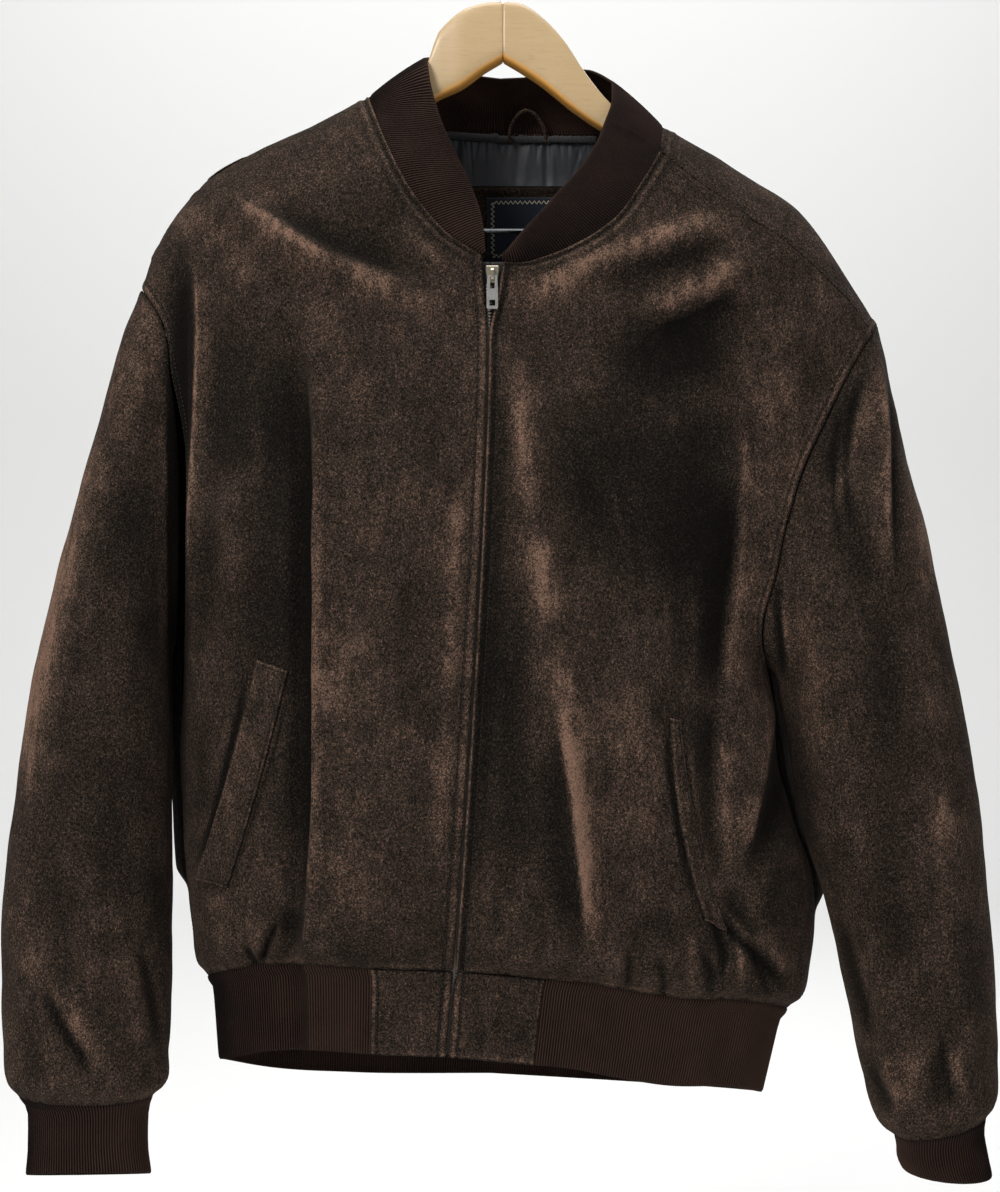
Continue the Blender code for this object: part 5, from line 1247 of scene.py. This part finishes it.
def make_front(side, base):
    panel = Panel("suede_front_" + side, base)
    soften(panel, FOLDS["front_" + side], NAP_AND_SHADE_STROKES["front_" + side], -panel.normals[..., 1])
    beside_zip = np.arange(len(base))[:, None] <= NECK_FRONT_AT
    # The edges at the zip and the collar take their lift and their painted highlights and shade.
    (zip_lift, zip_light_and_shade), (neck_lift, neck_light_and_shade) = ZIP_EDGE[side], NECK_EDGE
    panel.lift += np.where(beside_zip, ridges(panel.left, *zip_lift), ridges(panel.left, *neck_lift))
    panel.nap += np.where(beside_zip, ridges(panel.left, *zip_light_and_shade), ridges(panel.left, *neck_light_and_shade))
    panel.lift += stitch_dip(panel.left, NECK_ROW)
    dress_edges(panel)
    # The cloth blouses over the knit and is eased onto it, and on the left the back's strip lies over the shoulder.
    blouse, seed, over = (2.2, 21, 0) if side == "right" else (3.4, 22, 0.5)
    panel.lift += seam_profile(panel.end, over) - seam_profile(panel.end)
    panel.lift += blouse * step(panel.left / 60) * bell((panel.start - 16) / 13) * step(panel.start / 12)
    eased = gathers(seed, panel.left, panel.start, every=15, deep=1.7, reach=26, total=300)
    panel.lift += eased * step(panel.left / 30)
    return panel


# Where a back panel swells out behind its sleeve: first and last row, height.
BESIDE_SLEEVE = {"right": (545, 872, 11.5), "left": (622, 896, 12.5)}


def make_backs(backs):
    panels = {side: Panel("suede_back_" + side, backs[side], (0, 1, 0)) for side in SIDES}
    spine = unit(sum(panel.normals[: NECK_BACK_AT + 1, 0] for panel in panels.values()))
    for side, panel in panels.items():
        panel.normals[: NECK_BACK_AT + 1, 0] = spine
        soften(panel, FOLDS["back"], NAP_AND_SHADE_STROKES["back"], panel.normals[..., 1])
        panel.lift *= 0.1 + 0.9 * step(panel.start / 12)
        neck = np.arange(len(panel.base))[:, None] > NECK_BACK_AT
        # The neck edge's lift and its painted highlights and shade.
        neck_lift, neck_light_and_shade = (ridges(panel.left, *rows) for rows in NECK_EDGE)
        panel.lift += np.where(neck, neck_lift + stitch_dip(panel.left, NECK_ROW), 0)
        panel.nap += np.where(neck, neck_light_and_shade, 0)
        dress_edges(panel)
        first, last, swollen = BESIDE_SLEEVE[side]
        behind = step((panel.row - first + 30) / 40) * step((last - panel.row + 22) / 30)
        panel.lift += swollen * behind * bell((panel.right - 27) / 15)
        # Painted shade on the swell behind the sleeve.
        panel.nap -= 0.7 * behind * bell((panel.right - 18) / 16)
        # Full above the knit and eased onto it, in one run of gathers from side to side.
        panel.lift += 3.0 * bell((panel.start - 16) / 13) * step(panel.start / 12)
        across = np.sign(panel.base[:1, -1:, 0]) * panel.left
        panel.lift += gathers(31, across + 300, panel.start, every=17, deep=1.8, reach=28, total=620)
    return panels


def armhole_halves(side, fronts, backs):
    """Points of an armhole, from the underarm up the front and from the shoulder down the back."""
    front_run = fronts[side][UNDERARM_AT:, -1]
    back_run = backs[side][UNDERARM_AT : len(DOWN), -1][::-1]
    if side == "left":
        front_run = np.concatenate([front_run, backs["left"][len(DOWN) - 1 : -1, -1][::-1]])
    runs = ((run_of(half), half) for half in (front_run, back_run))
    return [at_run(run, half, np.linspace(0, run[-1], AROUND + 1)) for run, half in runs]


def make_sleeve(side, fronts, backs):
    front_half, back_half = armhole_halves(side, fronts, backs)
    # Angles round the tube: underarm 0, shoulder pi, and round to 2 pi.
    angles = np.concatenate([math.pi * share_of(front_half), math.pi + math.pi * share_of(back_half)[1:]])
    base = tube(SLEEVE[side], LONG_SLEEVE, angles, np.concatenate([front_half, back_half[1:]]))
    base[:, -1] = base[:, 0]
    panel = Panel("suede_sleeve_" + side, base, base - base.mean(axis=1, keepdims=True), wrap=True)
    panel.normals[0] = panel.normals[1]
    folds, facing = FOLDS["sleeve_" + side], -panel.normals[..., 1]
    soften(panel, folds, NAP_AND_SHADE_STROKES["sleeve_" + side], facing, swells=0.9)
    # The back of the sleeve carries like folds, a little higher up and the other way about.
    behind = [(-0.8 * height, a, b, *[(c + 6, r - 60) for c, r in line]) for height, a, b, *line in folds]
    lift = fold_lines(panel.column, panel.row, behind) * step((-facing + 0.05) / 0.35)
    panel.lift += lift
    # The back's folds painted lighter where they rise and darker where they sink.
    panel.nap += 0.08 * lift
    panel.lift *= step(panel.start / 30) * 0.85 + 0.15
    panel.lift += seam_profile(panel.start) + ridges(panel.start, (0.35, 5, 4))
    # Eased onto the cuff, and full just above it.
    girth = 330
    ring = np.linspace(0, 1, base.shape[1])[None] * girth + 0 * panel.start
    seed = 41 if side == "right" else 42
    panel.lift += gathers(seed, ring, panel.end, every=13, deep=2.0, reach=30, total=girth)
    panel.lift += 2.4 * bell((panel.end - 14) / 11) * step(panel.end / 10) + seam_profile(panel.end)
    # Painted shade in the seams at the armhole and the cuff.
    panel.nap += -0.35 * bell(panel.start / 2.5) - 0.3 * bell(panel.end / 2)
    return panel, angles


def knit(name, rows, out_from, wrap=False):
    """A ribbed band through rows of points, resampled to whole ribs, four points to a rib."""
    rows = np.asarray(rows)
    run = run_of(rows[len(rows) // 2])
    ribs = int(round(run[-1] / RIB))
    places = np.linspace(0, run[-1], 4 * ribs + 1)
    grid = np.stack([at_run(run, row, places) for row in rows])
    panel = Panel(name, grid, grid - out_from, wrap)
    panel.across = np.broadcast_to(places[None] * RIB * ribs / run[-1], grid.shape[:2])
    panel.lift += 0.30 * np.cos(2 * math.pi * panel.across / RIB)
    # Painted shadow along the band's top, under the edge of the suede.
    panel.nap -= 0.3 * bell(panel.start / 2.5)
    return panel


def build_knit(panel, nodes, sheet):
    panel.build(KNIT, nodes, "rib_knit", 1.6, sheet, {"across": panel.across, "along": panel.start})


# ---------------------------------------------------------------- building the jacket


def hem_rows(top, downs, s=None):
    """Rows of the hem band below a top edge. With s, a front's shares across, its first points stay below the zip."""
    rows = []
    middle = np.array([(HEM_MIDDLE - MIDDLE) * SQUARE, 0, 0])
    for w in downs:
        pull = 1 - 0.02 * step(w / 0.15) - 0.045 * w
        at = middle + (top - middle) * [pull, pull, 1] + [HEM_DRIFT * w, 0, -HEM_DROP * w]
        if s is not None:
            at[:, 0] += (top[0, 0] + HEM_DRIFT * w - at[0, 0]) * np.exp(-s / 0.2)
        rows.append(at)
    rows[0] = top
    return np.array(rows)


BAND_DOWNS = [0.12, 0.24, 0.38, 0.52, 0.66, 0.8, 0.9, 0.97, 1]  # rows of a band, as shares of its height
ALLOWANCE = 4.0  # of the hem band, up inside the seam


def hem_parts(fronts, backs):
    """Rows of the two tabs and of the knit between them, right front round the back to left front."""
    downs = [0, 0.015, 0.05, *BAND_DOWNS]
    tabs, ribs, rears = {}, {}, {}
    for side in SIDES:
        rows = hem_rows(fronts[side][0], downs, WIDE[side])
        edge = int(np.argmin(abs(WIDE[side] - TAB_EDGE[side])))
        tabs[side], ribs[side] = rows[:, : edge + 1], rows[:, edge:]
        rears[side] = hem_rows(backs[side][0], downs)
        rears[side][:, -1] = rows[:, -1]
    ring = [ribs["right"], rears["right"][:, -2::-1], rears["left"][:, 1:], ribs["left"][:, -2::-1]]
    ring = np.concatenate(ring, axis=1)
    return tabs, np.concatenate([ring[:1] + [0, 0, ALLOWANCE], ring])


def collar_parts(fronts, backs):
    """Rows of the collar from its seam to its free edge, right front end round the nape to the left."""
    # The first row is the allowance inside the seam.
    ups = [-0.05, 0, 0.015, 0.05, 0.12, 0.24, 0.38, 0.52, 0.66, 0.79, 0.89, 0.96, 1]
    top = len(DOWN)

    def rows(seam, edge, back_bow, up_bow):
        """Rows from seam to edge, bowed back and up in between."""
        bow = np.stack([0 * seam[:, 0], back_bow, up_bow], -1)
        return np.array([seam + (edge - seam) * w + bow * 4 * max(w, 0) * (1 - w) for w in ups])

    def edge_of(table, seam):
        return lay(*curve(table, share_of(seam)).T)

    parts = []
    for side in SIDES:
        seam = backs[side][NECK_BACK_AT:top, 0]
        rear_edge = edge_of(COLLAR_BACK[side], seam)
        rear = rows(seam, rear_edge, 4 - 4 * share_of(seam), np.full(len(seam), 2.0))
        seam = fronts[side][NECK_FRONT_AT:, 0]
        edge, share = edge_of(COLLAR_FRONT[side], seam), share_of(seam)
        back_bow, up_bow = -3 + 3 * share, 2 * share
        if side == "right":
            edge[-1] = rear_edge[-1]
            parts += [rows(seam, edge, back_bow, up_bow), rear[:, -2::-1]]
        else:
            blend = np.linspace(0, 1, 8) ** 2
            back_bow[-8:] += (-1 - back_bow[-8:]) * blend
            up_bow[-8:] += (2 - up_bow[-8:]) * blend
            front = rows(seam, edge, back_bow, up_bow)
            seam = backs["left"][top - 1 :, 0]
            w = np.linspace(0, 1, len(seam))
            over = rows(seam, lay(*curve(COLLAR_OVER_SHOULDER, w).T), -w, 2 + 0 * w)
            parts += [rear[:, 1:], over[:, 1:], front[:, -2::-1]]
    return np.concatenate(parts, axis=1)


def stitch_rows(fronts, backs, tabs, welts):
    """Every row of stitching that shows, in one piece."""
    lines = []

    def row(panel, which, away, first=None, last=None):
        p, n = panel.beside(which, away)
        lines.append((p[first:last], n[first:last]))

    for panel in fronts.values():
        row(panel, "left", NECK_ROW)
        for away in ARMHOLE_ROWS:
            row(panel, "right", away, UNDERARM_AT + 3, len(DOWN) - 2)
        for away in SEAM_ROWS:
            row(panel, "right", away, 2, UNDERARM_AT - 3)
    for panel in backs.values():
        row(panel, "left", NECK_ROW, NECK_BACK_AT + 2)
        for away in ARMHOLE_ROWS:
            row(panel, "right", away, UNDERARM_AT + 3, -2)
    for away in SEAM_ROWS:
        row(backs["left"], "end", away, 3, -3)
    lines += [tab.beside(which, away, 1.5, 1.5) for tab in tabs.values() for which, away in TAB_ROWS]
    lines += [welt.beside(which, away, 1.0, 1.0) for welt in welts.values() for which, away in WELT_ROWS]
    thread("suede_stitching", lines, THREAD)


def make_tab(side, rows):
    panel = Panel("suede_tab_" + side, rows)
    panel.lift += 0.5 + 0.8 * ripple(panel.base) + 0.8 * swell(panel.base) + 0.35 * step((panel.right - 1) / 3)
    # Painted shade along the edges and each stitch line, with a painted highlight in a strip beside each row.
    for away in (panel.left, panel.right, panel.start, panel.end):
        panel.lift -= 0.9 * bell(away / 1.0)
        panel.nap -= 0.45 * bell(away / 0.8)
    for which, at in TAB_ROWS:
        away = getattr(panel, which)
        panel.lift += stitch_dip(away, at)
        panel.nap += ridges(away, (0.45, at * 0.5, 1.5), (-0.8, at, 0.8))
    panel.nap += 0.3 * patchy(panel.base)
    return panel


def on_cloth(tree, columns, rows, back=False):
    """Points and outward normals where the pattern at columns and rows, seen from the front, meets the cloth."""
    points, normals = np.zeros((2,) + columns.shape + (3,))
    eye = Vector((0, -EYE, EYE_HEIGHT))
    for at in np.ndindex(columns.shape):
        target = Vector(lay(columns[at], rows[at], 0.0))
        hit, normal, _, _ = tree.ray_cast(eye, (target - eye).normalized())
        if hit is None:
            raise ValueError(f"no cloth at {columns[at]:.0f}, {rows[at]:.0f}")
        points[at] = hit
        normals[at] = normal if (normal[1] > 0) == back else -normal
    for _ in range(3):  # even out the normals, so that what lies on the cloth is smooth
        inner = normals.copy()
        inner[1:-1] += normals[:-2] + normals[2:]
        inner[:, 1:-1] += normals[:, :-2] + normals[:, 2:]
        normals = unit(inner)
    return points, normals


def tree_of(*grids):
    points, faces = [], []
    for grid in grids:
        faces += (quads(*grid.shape[:2]) + len(points)).tolist()
        points += [Vector(p) for p in grid.reshape(-1, 3)]
    return BVHTree.FromPolygons(points, faces)


# Corners of the pocket welts, inner top first and round by the outer top, the bow of their long sides, the cut.
WELTS = {
    "right": ([(257, 659), (288, 671), (228, 888), (197, 879)], 3, ((0.022, 0.175), 0.0036)),
    "left": ([(669, 718), (681, 720), (727, 932), (704, 920)], -8, ((0.018, 0.170), 0.0028)),
}


def make_welt(side, panel):
    corners, bow, _ = WELTS[side]
    a, b, c, d = np.array(corners)
    w, u = spread(64, 170)[:, None, None], spread(9, 17)[None, :, None]
    at = (1 - w) * ((1 - u) * a + u * b) + w * ((1 - u) * d + u * c)
    at[..., 0] += bow * 4 * w[..., 0] * (1 - w[..., 0])
    points, normals = on_cloth(tree_of(panel.points), at[..., 0], at[..., 1])
    welt = Panel("suede_welt_" + side, points)
    welt.normals = normals
    welt.lift += 2.6 + 0.4 * ripple(points) + ridges(welt.left, (-1.3, 0, 0.9), (0.5, 3, 3))
    welt.lift -= 1.5 * bell(welt.right / 1.0) + 1.0 * bell(welt.start / 1.2) + 1.0 * bell(welt.end / 1.2)
    # Painted shade along the stitched side and in the slit at the opening edge, painted highlights on the lip and
    # beside each stitch row.
    welt.nap += 0.3 * patchy(points) + 0.06 - 0.4 * bell(welt.right / 0.9)
    welt.nap += ridges(welt.left, (0.3, 2.0, 1.6), (-0.6, 0, 0.9))
    for which, where in WELT_ROWS:
        away = getattr(welt, which)
        welt.lift += stitch_dip(away, where)
        welt.nap += ridges(away, (0.5, 1.0, 0.6), (-0.5, where + 0.4, 0.7))
    return welt


def wavelet(x):
    return np.sin(2 * math.pi * x)


def neck_inside(back_panels):
    """Lining, its piping, the suede facing below it, the label and the hanging loop."""
    tree = tree_of(*(p.points for p in back_panels.values()))
    seam = np.array(sorted(row[1:] for side in SIDES for row in BACK_INNER[side][2:]), float)

    def lying(name, across, top, bottom, down, off):
        """Cloth against the back's inside, between two rows. across is its first and last column and their count."""
        columns = np.linspace(*across)[None] + np.zeros((len(down), 1))
        top = top + (np.interp(columns, *seam.T) if top < 60 else 0 * columns)  # small rows count from the neck seam
        points, normals = on_cloth(tree, columns, top + (bottom - top) * down[:, None], back=True)
        panel = Panel(name, points - normals * (SHELL + off))
        panel.normals = -normals
        return panel

    lining = lying("satin_lining", (440, 600, 150), 9, 187, spread(22, 40), 0.7)
    run, far = lining.left, lining.start
    lining.lift += ridges(far, (1.1, 12, 14))
    rng = np.random.default_rng(61)
    for k, at in enumerate(np.cumsum(rng.uniform(2.4, 6.5, 34))):
        lean, wide, tall = rng.uniform(-0.4, 0.4), rng.uniform(0.8, 1.7), rng.uniform(0.35, 1.0)
        reach = rng.uniform(5, 13)
        if k % 5 == 2:
            wide, tall, reach = rng.uniform(2.4, 4.2), rng.uniform(0.9, 1.7), rng.uniform(26, 50)
        pucker = ridges(run - lean * far, (-tall, at, wide), (0.5 * tall, at + wide * 1.8, wide))
        lining.lift += pucker * np.exp(-far / reach)
    lining.lift += 0.35 * ripple(lining.base)
    lining.build(SATIN, ["neck_lining"], "satin", 0.5, ((0.160, 0.045), 0.0055))

    facing = lying("suede_facing", (440, 600, 60), 187.5, 290, spread(34, 76), 1.0)
    facing.lift += ridges(facing.start, (0.9, 3, 2.5), (-0.8, 0, 0.8)) + 0.3 * ripple(facing.base)
    facing.nap += 0.5 * patchy(facing.base) - 0.15
    facing.build(SUEDE, ["back_facing"], "suede", 0.9, ((0.130, 0.080), 0.0100))

    drop, radius = 6.4, 3.0
    at = np.linspace(441, 598, 420)
    line = np.convolve(np.pad(np.interp(at, *seam.T), 12, mode="edge"), np.ones(25) / 25, mode="valid")
    points, normals = on_cloth(tree, at[None], (line + drop)[None], back=True)

    def piping_twist(run, turn):
        tight = 0.3 + 0.7 * step((run - 45) / 20)
        return radius * tight * (0.07 * wavelet(run / 3.7 + turn) + 0.05 * wavelet(run / 5.9 + 2 * turn))

    piping = cord(points[0] - normals[0] * (SHELL + 0.6 + radius), radius, piping_twist)
    skin("satin_piping", piping, CORD, ["neck_piping"])

    label = lying("woven_label", (487, 562, 40), 198, 262, np.linspace(0, 1, 34), 2.4)
    label.lift += 0.5 * ripple(label.base) + 0.6 * swell(label.base)
    label.lift -= 0.4 * bell(label.left / 1.2) + 0.4 * bell(label.start / 1.2)
    label.build(LABEL, ["neck_label"], "label", 0.5, ((0.062, 0.052), 0.0032))
    # A plain zigzag sewn round the label's edge.
    for k, (which, inset) in enumerate((("start", 4.2), ("left", 4.6), ("right", 4.6), ("end", 4.2))):
        p, n = label.beside(which, inset, 4.0, 4.0)
        run = run_of(p)
        places = np.arange(0, run[-1], 0.45)
        centre, normal = at_run(run, p, places), unit(at_run(run, n, places))
        along = unit(np.gradient(centre, axis=0))
        wave = 1.5 * (2 / math.pi) * np.arcsin(wavelet(places / 3.9))
        line = centre + np.cross(along, normal) * wave[:, None] + normal * 0.15
        skin(f"label_zigzag_{k + 1}", rod(line, 0.33, 6), CREAM)

    foot = lay(*np.array([
        (510, 143, 55.1), (509.5, 134, 51.1), (514, 121, 45.1), (520, 113, 42.1), (526, 110.5, 41.1),
        (533, 113, 42.1), (540, 121, 45.1), (545.5, 133, 51.1), (545, 142, 55.1),
    ]).T)
    smooth = curve(np.column_stack([share_of(foot), foot]), np.linspace(0, 1, 90))
    loop = cord(smooth, 1.45, lambda run, turn: 0.16 * wavelet(run / 2.4 + turn))
    skin("suede_loop", loop, SUEDE, ["hanging_loop"], {"nap": np.full(loop.shape[:2], 0.25)})


def zip_parts(fronts, tabs):
    """Tapes behind the fronts' edges and two rows of interlocked teeth."""
    rows = np.arange(262, 1056, 3.0)
    depths = []
    for side, panel in fronts.items():
        edge = np.concatenate([tabs[side].points[::-1, 0], panel.points[1 : NECK_FRONT_AT + 1, 0]])
        _, edge_row, _ = elevation(edge)
        order = np.argsort(edge_row)
        depths.append(np.interp(rows, edge_row[order], edge[order, 1]))
    depth = np.convolve(np.pad(np.maximum(*depths), 8, mode="edge"), np.ones(17) / 17, mode="valid")
    middle = curve(ZIP_LINE, rows)[:, 0]
    centre = lay(middle, rows, depth + 2.4)
    run = run_of(centre)
    for side, sign in ("right", -1), ("left", 1):
        lines = [
            lay(middle, rows, depth + back) + [sign * off, 0, 0]
            for off, back in ((0.35, 3.7), (3.0, 3.6), (6.0, 3.7), (9.0, 4.0), (13.0, 4.4))
        ]
        tape = Panel("woven_tape_" + side, np.stack(lines, 1))
        tape.build(TAPE, ["zip_tape_" + side], "zip_tape", 0.8, ((0.014, 0.600), 0.0083))

    pitch = 2.5
    # Rings of a tooth: height and growth. Its outline: out from the middle, and back.
    rings = ((-0.75, 0.55), (-0.45, 1), (0.45, 1), (0.75, 0.55))
    outline = ((-0.9, -0.5), (1.3, -0.9), (2.4, -0.6), (2.4, 1.2), (-0.9, 1.2))
    sides, corners = quads(len(rings), len(outline), wrap=True), len(rings) * len(outline)
    for side, sign, shift in ("right", -1, 0.0), ("left", 1, pitch / 2):
        at = at_run(run, centre, np.arange(18 + shift, run[-1] - 2, pitch))
        verts = np.stack([
            at + [sign * x * (0.7 + 0.3 * grow), y * grow, up] for up, grow in rings for x, y in outline
        ], 1)
        faces = []
        for o in range(0, len(at) * corners, corners):
            faces += [*(sides + o).tolist(), [o + 4, o + 3, o + 2, o + 1, o], [o + 15, o + 16, o + 17, o + 18, o + 19]]
        face_out(make("zip_teeth_" + side, verts.reshape(-1, 3), faces, TEETH, smooth=False))


# Each half of the hanger: distance from its middle, top row, bottom row, depth of its front, thickness.
HANGER = {
    "right": [
        (0, 0, 57, -13, 23), (20, 1.5, 69, -13, 23), (43, 10, 86, -13.5, 22), (58, 23, 93, -12.5, 19),
        (66, 33, 97, -12, 18), (71, 47, 100, -11.5, 17.5), (75, 60, 103, -11.5, 17.5), (82, 71, 107, -11.5, 17.5),
        (103, 91, 118, -12, 17), (134, 107, 133, -13, 17), (187, 132, 157, -12, 16), (249, 163, 186, -10.5, 15),
        (285, 189, 206, -9, 14), (297, 199, 209, -8.5, 13),
    ],
    "left": [
        (0, 0, 57, -13, 23), (20, 2.5, 69, -13, 23), (44, 20, 86, -13.5, 22), (64, 43, 103, -14, 21),
        (80, 68, 115, -14, 20), (106, 101, 132, -14, 19), (130, 120, 147, -14, 18), (158, 138, 163, -13, 17),
        (202, 162, 186, -12, 16), (252, 192, 214, -10.5, 15), (286, 216, 233, -9, 14), (297, 225, 236, -8.5, 13),
    ],
}
HANGER_DEPTH = -12  # of the plane in which its rows and columns are read


def hanger():
    """The two shaped halves, softly rounded, with a warmer underside that is partly varnish and partly painted shade.
    """
    a = np.linspace(0, 2 * math.pi, 40, endpoint=False)
    squareness = 5.5
    y, z = (np.sign(way) * abs(way) ** (2 / squareness) for way in (np.cos(a), np.sin(a)))
    coarse = np.array([0, 20, 43, 58, 66, 71, 76, 83, 103, 134, 187, 249, 285, 297.0])
    places = np.concatenate([[0, 0.8], np.linspace(2.5, 290, 70), [293, 295.4, 296.6, 297]])
    for side, sign in zip(SIDES, (-1, 1)):
        known = np.column_stack([coarse, curve(HANGER[side], coarse)])
        rings = []
        for place in places:
            top, bottom, front, thick = curve(known, place)
            x, _, high = lay(MIDDLE + sign * place, top, HANGER_DEPTH)
            low = lay(MIDDLE, bottom, HANGER_DEPTH)[2]
            end = 1 - 0.28 * step((place - 290) / 7) ** 2 - 0.05 * (place == 0)
            depth, height = front + thick / 2 * (1 + end * y), (high + low) / 2 + (high - low) / 2 * end * z
            rings.append(np.stack([np.full(len(a), x), depth, height], -1))
        # The underside, for the maple's amber that is partly varnish and partly painted shade.
        under = np.broadcast_to(step((-z - 0.83) / 0.08), (len(places), len(a)))
        skin("maple_half_" + side, np.array(rings), MAPLE, ["hanger_" + side], {"under": under})


def dress_metal():
    """The metal pieces keep their shape and take their finish."""
    for node, finish in (("zip_slider", BRASS), ("zip_pull", NICKEL), ("hanger_hook", CHROME), ("hanger_bar", CHROME)):
        bpy.data.objects[node].material_slots[0].material = finish


# ---------------------------------------------------------------- studio


def light(name, at, aim, size, power, colour=(1, 1, 1)):
    data = bpy.data.lights.new(name, "AREA")
    data.shape, data.size, data.size_y, data.energy, data.color = "RECTANGLE", size[0], size[1], power, colour
    obj = bpy.data.objects.new(name, data)
    obj.location = at
    obj.rotation_euler = (Vector(aim) - Vector(at)).to_track_quat("-Z", "Y").to_euler()
    bpy.context.scene.collection.objects.link(obj)


def studio():
    """A pale floor that curves up behind, soft lights and the camera, in metres."""
    paper = Finish("pale_paper", Base_Color=(0.80, 0.80, 0.79), Roughness=0.9, Specular_IOR_Level=0.2)
    front, bend, back, radius, floor, top, half_width = -7.0, 2.9, 4.2, 1.3, -1.30, 6.0, 9.0
    turn = np.radians(np.arange(5, 91, 5))
    line = [(front, floor), (bend, floor)]
    line += [(bend + radius * math.sin(t), floor + radius * (1 - math.cos(t))) for t in turn]
    line += [(back, top)]
    verts = [(x, y, z) for y, z in line for x in (-half_width, half_width)]
    mesh = bpy.data.meshes.new("paper_sweep")
    mesh.from_pydata(verts, [], quads(len(line), 2).tolist())
    mesh.materials.append(paper.material)
    mesh.shade_smooth()
    sweep = bpy.data.objects.new("paper_sweep", mesh)
    bpy.context.scene.collection.objects.link(sweep)

    world = bpy.data.worlds.new("soft_room")
    world.use_nodes = True
    world.node_tree.nodes["Background"].inputs["Color"].default_value = (0.95, 0.97, 1, 1)
    world.node_tree.nodes["Background"].inputs["Strength"].default_value = 0.30
    bpy.context.scene.world = world
    light("key", (-1.5, -2.1, 0.75), (0.0, 0.0, -0.45), (0.9, 0.9), 62, (1, 0.985, 0.96))
    light("fill", (1.9, -1.9, 0.1), (0.05, 0, -0.5), (1.2, 1.6), 12, (0.97, 0.985, 1))
    light("top", (0.0, -0.2, 1.6), (0.0, 0.0, -0.4), (1.6, 1.2), 34)
    light("rim", (1.3, 1.4, 0.6), (0, 0, -0.5), (0.8, 1.4), 18)
    light("wash", (0.0, 1.9, 2.9), (0.0, 4.2, 0.0), (4.5, 1.0), 90)

    data = bpy.data.cameras.new("front_view")
    sensor, focal = 36, 1786.7  # focal length in the frame's columns, so that a square of the elevation fills one
    data.sensor_fit, data.sensor_width, data.lens = "HORIZONTAL", sensor, focal / 1000 * sensor
    data.shift_x = -0.003
    data.clip_start, data.clip_end = 0.05, 30
    cam = bpy.data.objects.new("front_view", data)
    cam.location, cam.rotation_euler = (0, -EYE / 1000, EYE_HEIGHT / 1000), (math.pi / 2, 0, 0)
    bpy.context.scene.collection.objects.link(cam)
    bpy.context.scene.camera = cam
    bpy.context.scene.view_settings.view_transform = "Standard"


def main():
    fronts, backs = body_panels()
    tab_rows, hem_grid = hem_parts(fronts, backs)
    front_panels = {side: make_front(side, fronts[side]) for side in SIDES}
    back_panels = make_backs(backs)
    tabs = {side: make_tab(side, tab_rows[side]) for side in SIDES}
    welts = {side: make_welt(side, front_panels[side]) for side in SIDES}

    for side, panel in front_panels.items():
        panel.build(SUEDE, ["front_" + side], "suede", SHELL, ((0.34, 0.70), 0.175))
    for side, panel in back_panels.items():
        panel.build(SUEDE, ["back_" + side], "suede", SHELL, ((0.32, 0.74), 0.190))
    for side in SIDES:
        sleeve, angles = make_sleeve(side, fronts, backs)
        nodes = ["sleeve_front_" + side, "sleeve_back_" + side]
        sleeve.build(SUEDE, nodes, "suede", SHELL, ((0.42, 0.62), 0.190))
        tabs[side].build(SUEDE, ["hem_tab_" + side], "suede", 1.6, ((0.07, 0.066), 0.0044))
        welts[side].build(SUEDE, ["pocket_welt_" + side], "suede", 1.4, WELTS[side][2])
        rings = tube(CUFF[side], [0, 0.02, 0.06, 0.13, *BAND_DOWNS[1:]], angles)
        rings[0] = sleeve.base[-1]
        rings[:, -1] = rings[:, 0]
        cuff = knit("knit_cuff_" + side, rings, rings.mean(axis=(0, 1)), wrap=True)
        cuff.lift += 1.4 * swell(cuff.base) - 0.9 * bell(cuff.start / 1.2) - 0.8 * bell(cuff.end / 1.1)
        build_knit(cuff, ["cuff_" + side], ((0.22, 0.064), 0.0135))

    hem = knit("knit_hem", hem_grid, hem_grid.mean(axis=(0, 1)))
    # The front of the right half is painted lighter as a highlight and darker again beyond its fold as shade, and the
    # band's back half painted darker as shade.
    lit_and_shaded = 0.14 * step((hem.column - 300) / 4) * step((372 - hem.column) / 20) - 0.12 * step((301 - hem.column) / 4)
    hem.nap += np.where(hem.normals[..., 1] < 0, lit_and_shaded, -0.1)
    hem.lift += 1.2 * swell(hem.base) * step(hem.left / 20) * step(hem.right / 20)
    hem.lift -= 0.9 * bell((hem.start - ALLOWANCE) / 1.3) + 0.9 * bell(hem.end / 1.3)
    hem.lift[0] -= 1.5
    build_knit(hem, ["hem_rib"], ((0.86, 0.069), 0.0578))

    collar = knit("knit_collar", collar_parts(fronts, backs), np.array([20, 5, -190.0]))
    # The free edge is painted lighter as a highlight, and the front of the left half painted darker as shade.
    shaded = step((collar.column - 500) / 30) * step((0.05 - collar.normals[..., 1]) / 0.4)
    collar.nap += 0.4 * bell(collar.end / 1.4) - 0.5 * shaded
    collar.lift += 0.6 * swell(collar.base) - 0.9 * bell((collar.start - 3.9) / 1.3) - 0.8 * bell(collar.end / 1.1)
    collar.lift[0] -= 1.3
    build_knit(collar, ["collar_rib"], ((0.56, 0.064), 0.0318))

    stitch_rows(front_panels, back_panels, tabs, welts)
    neck_inside(back_panels)
    zip_parts(front_panels, tabs)
    hanger()
    dress_metal()
    studio()


main()
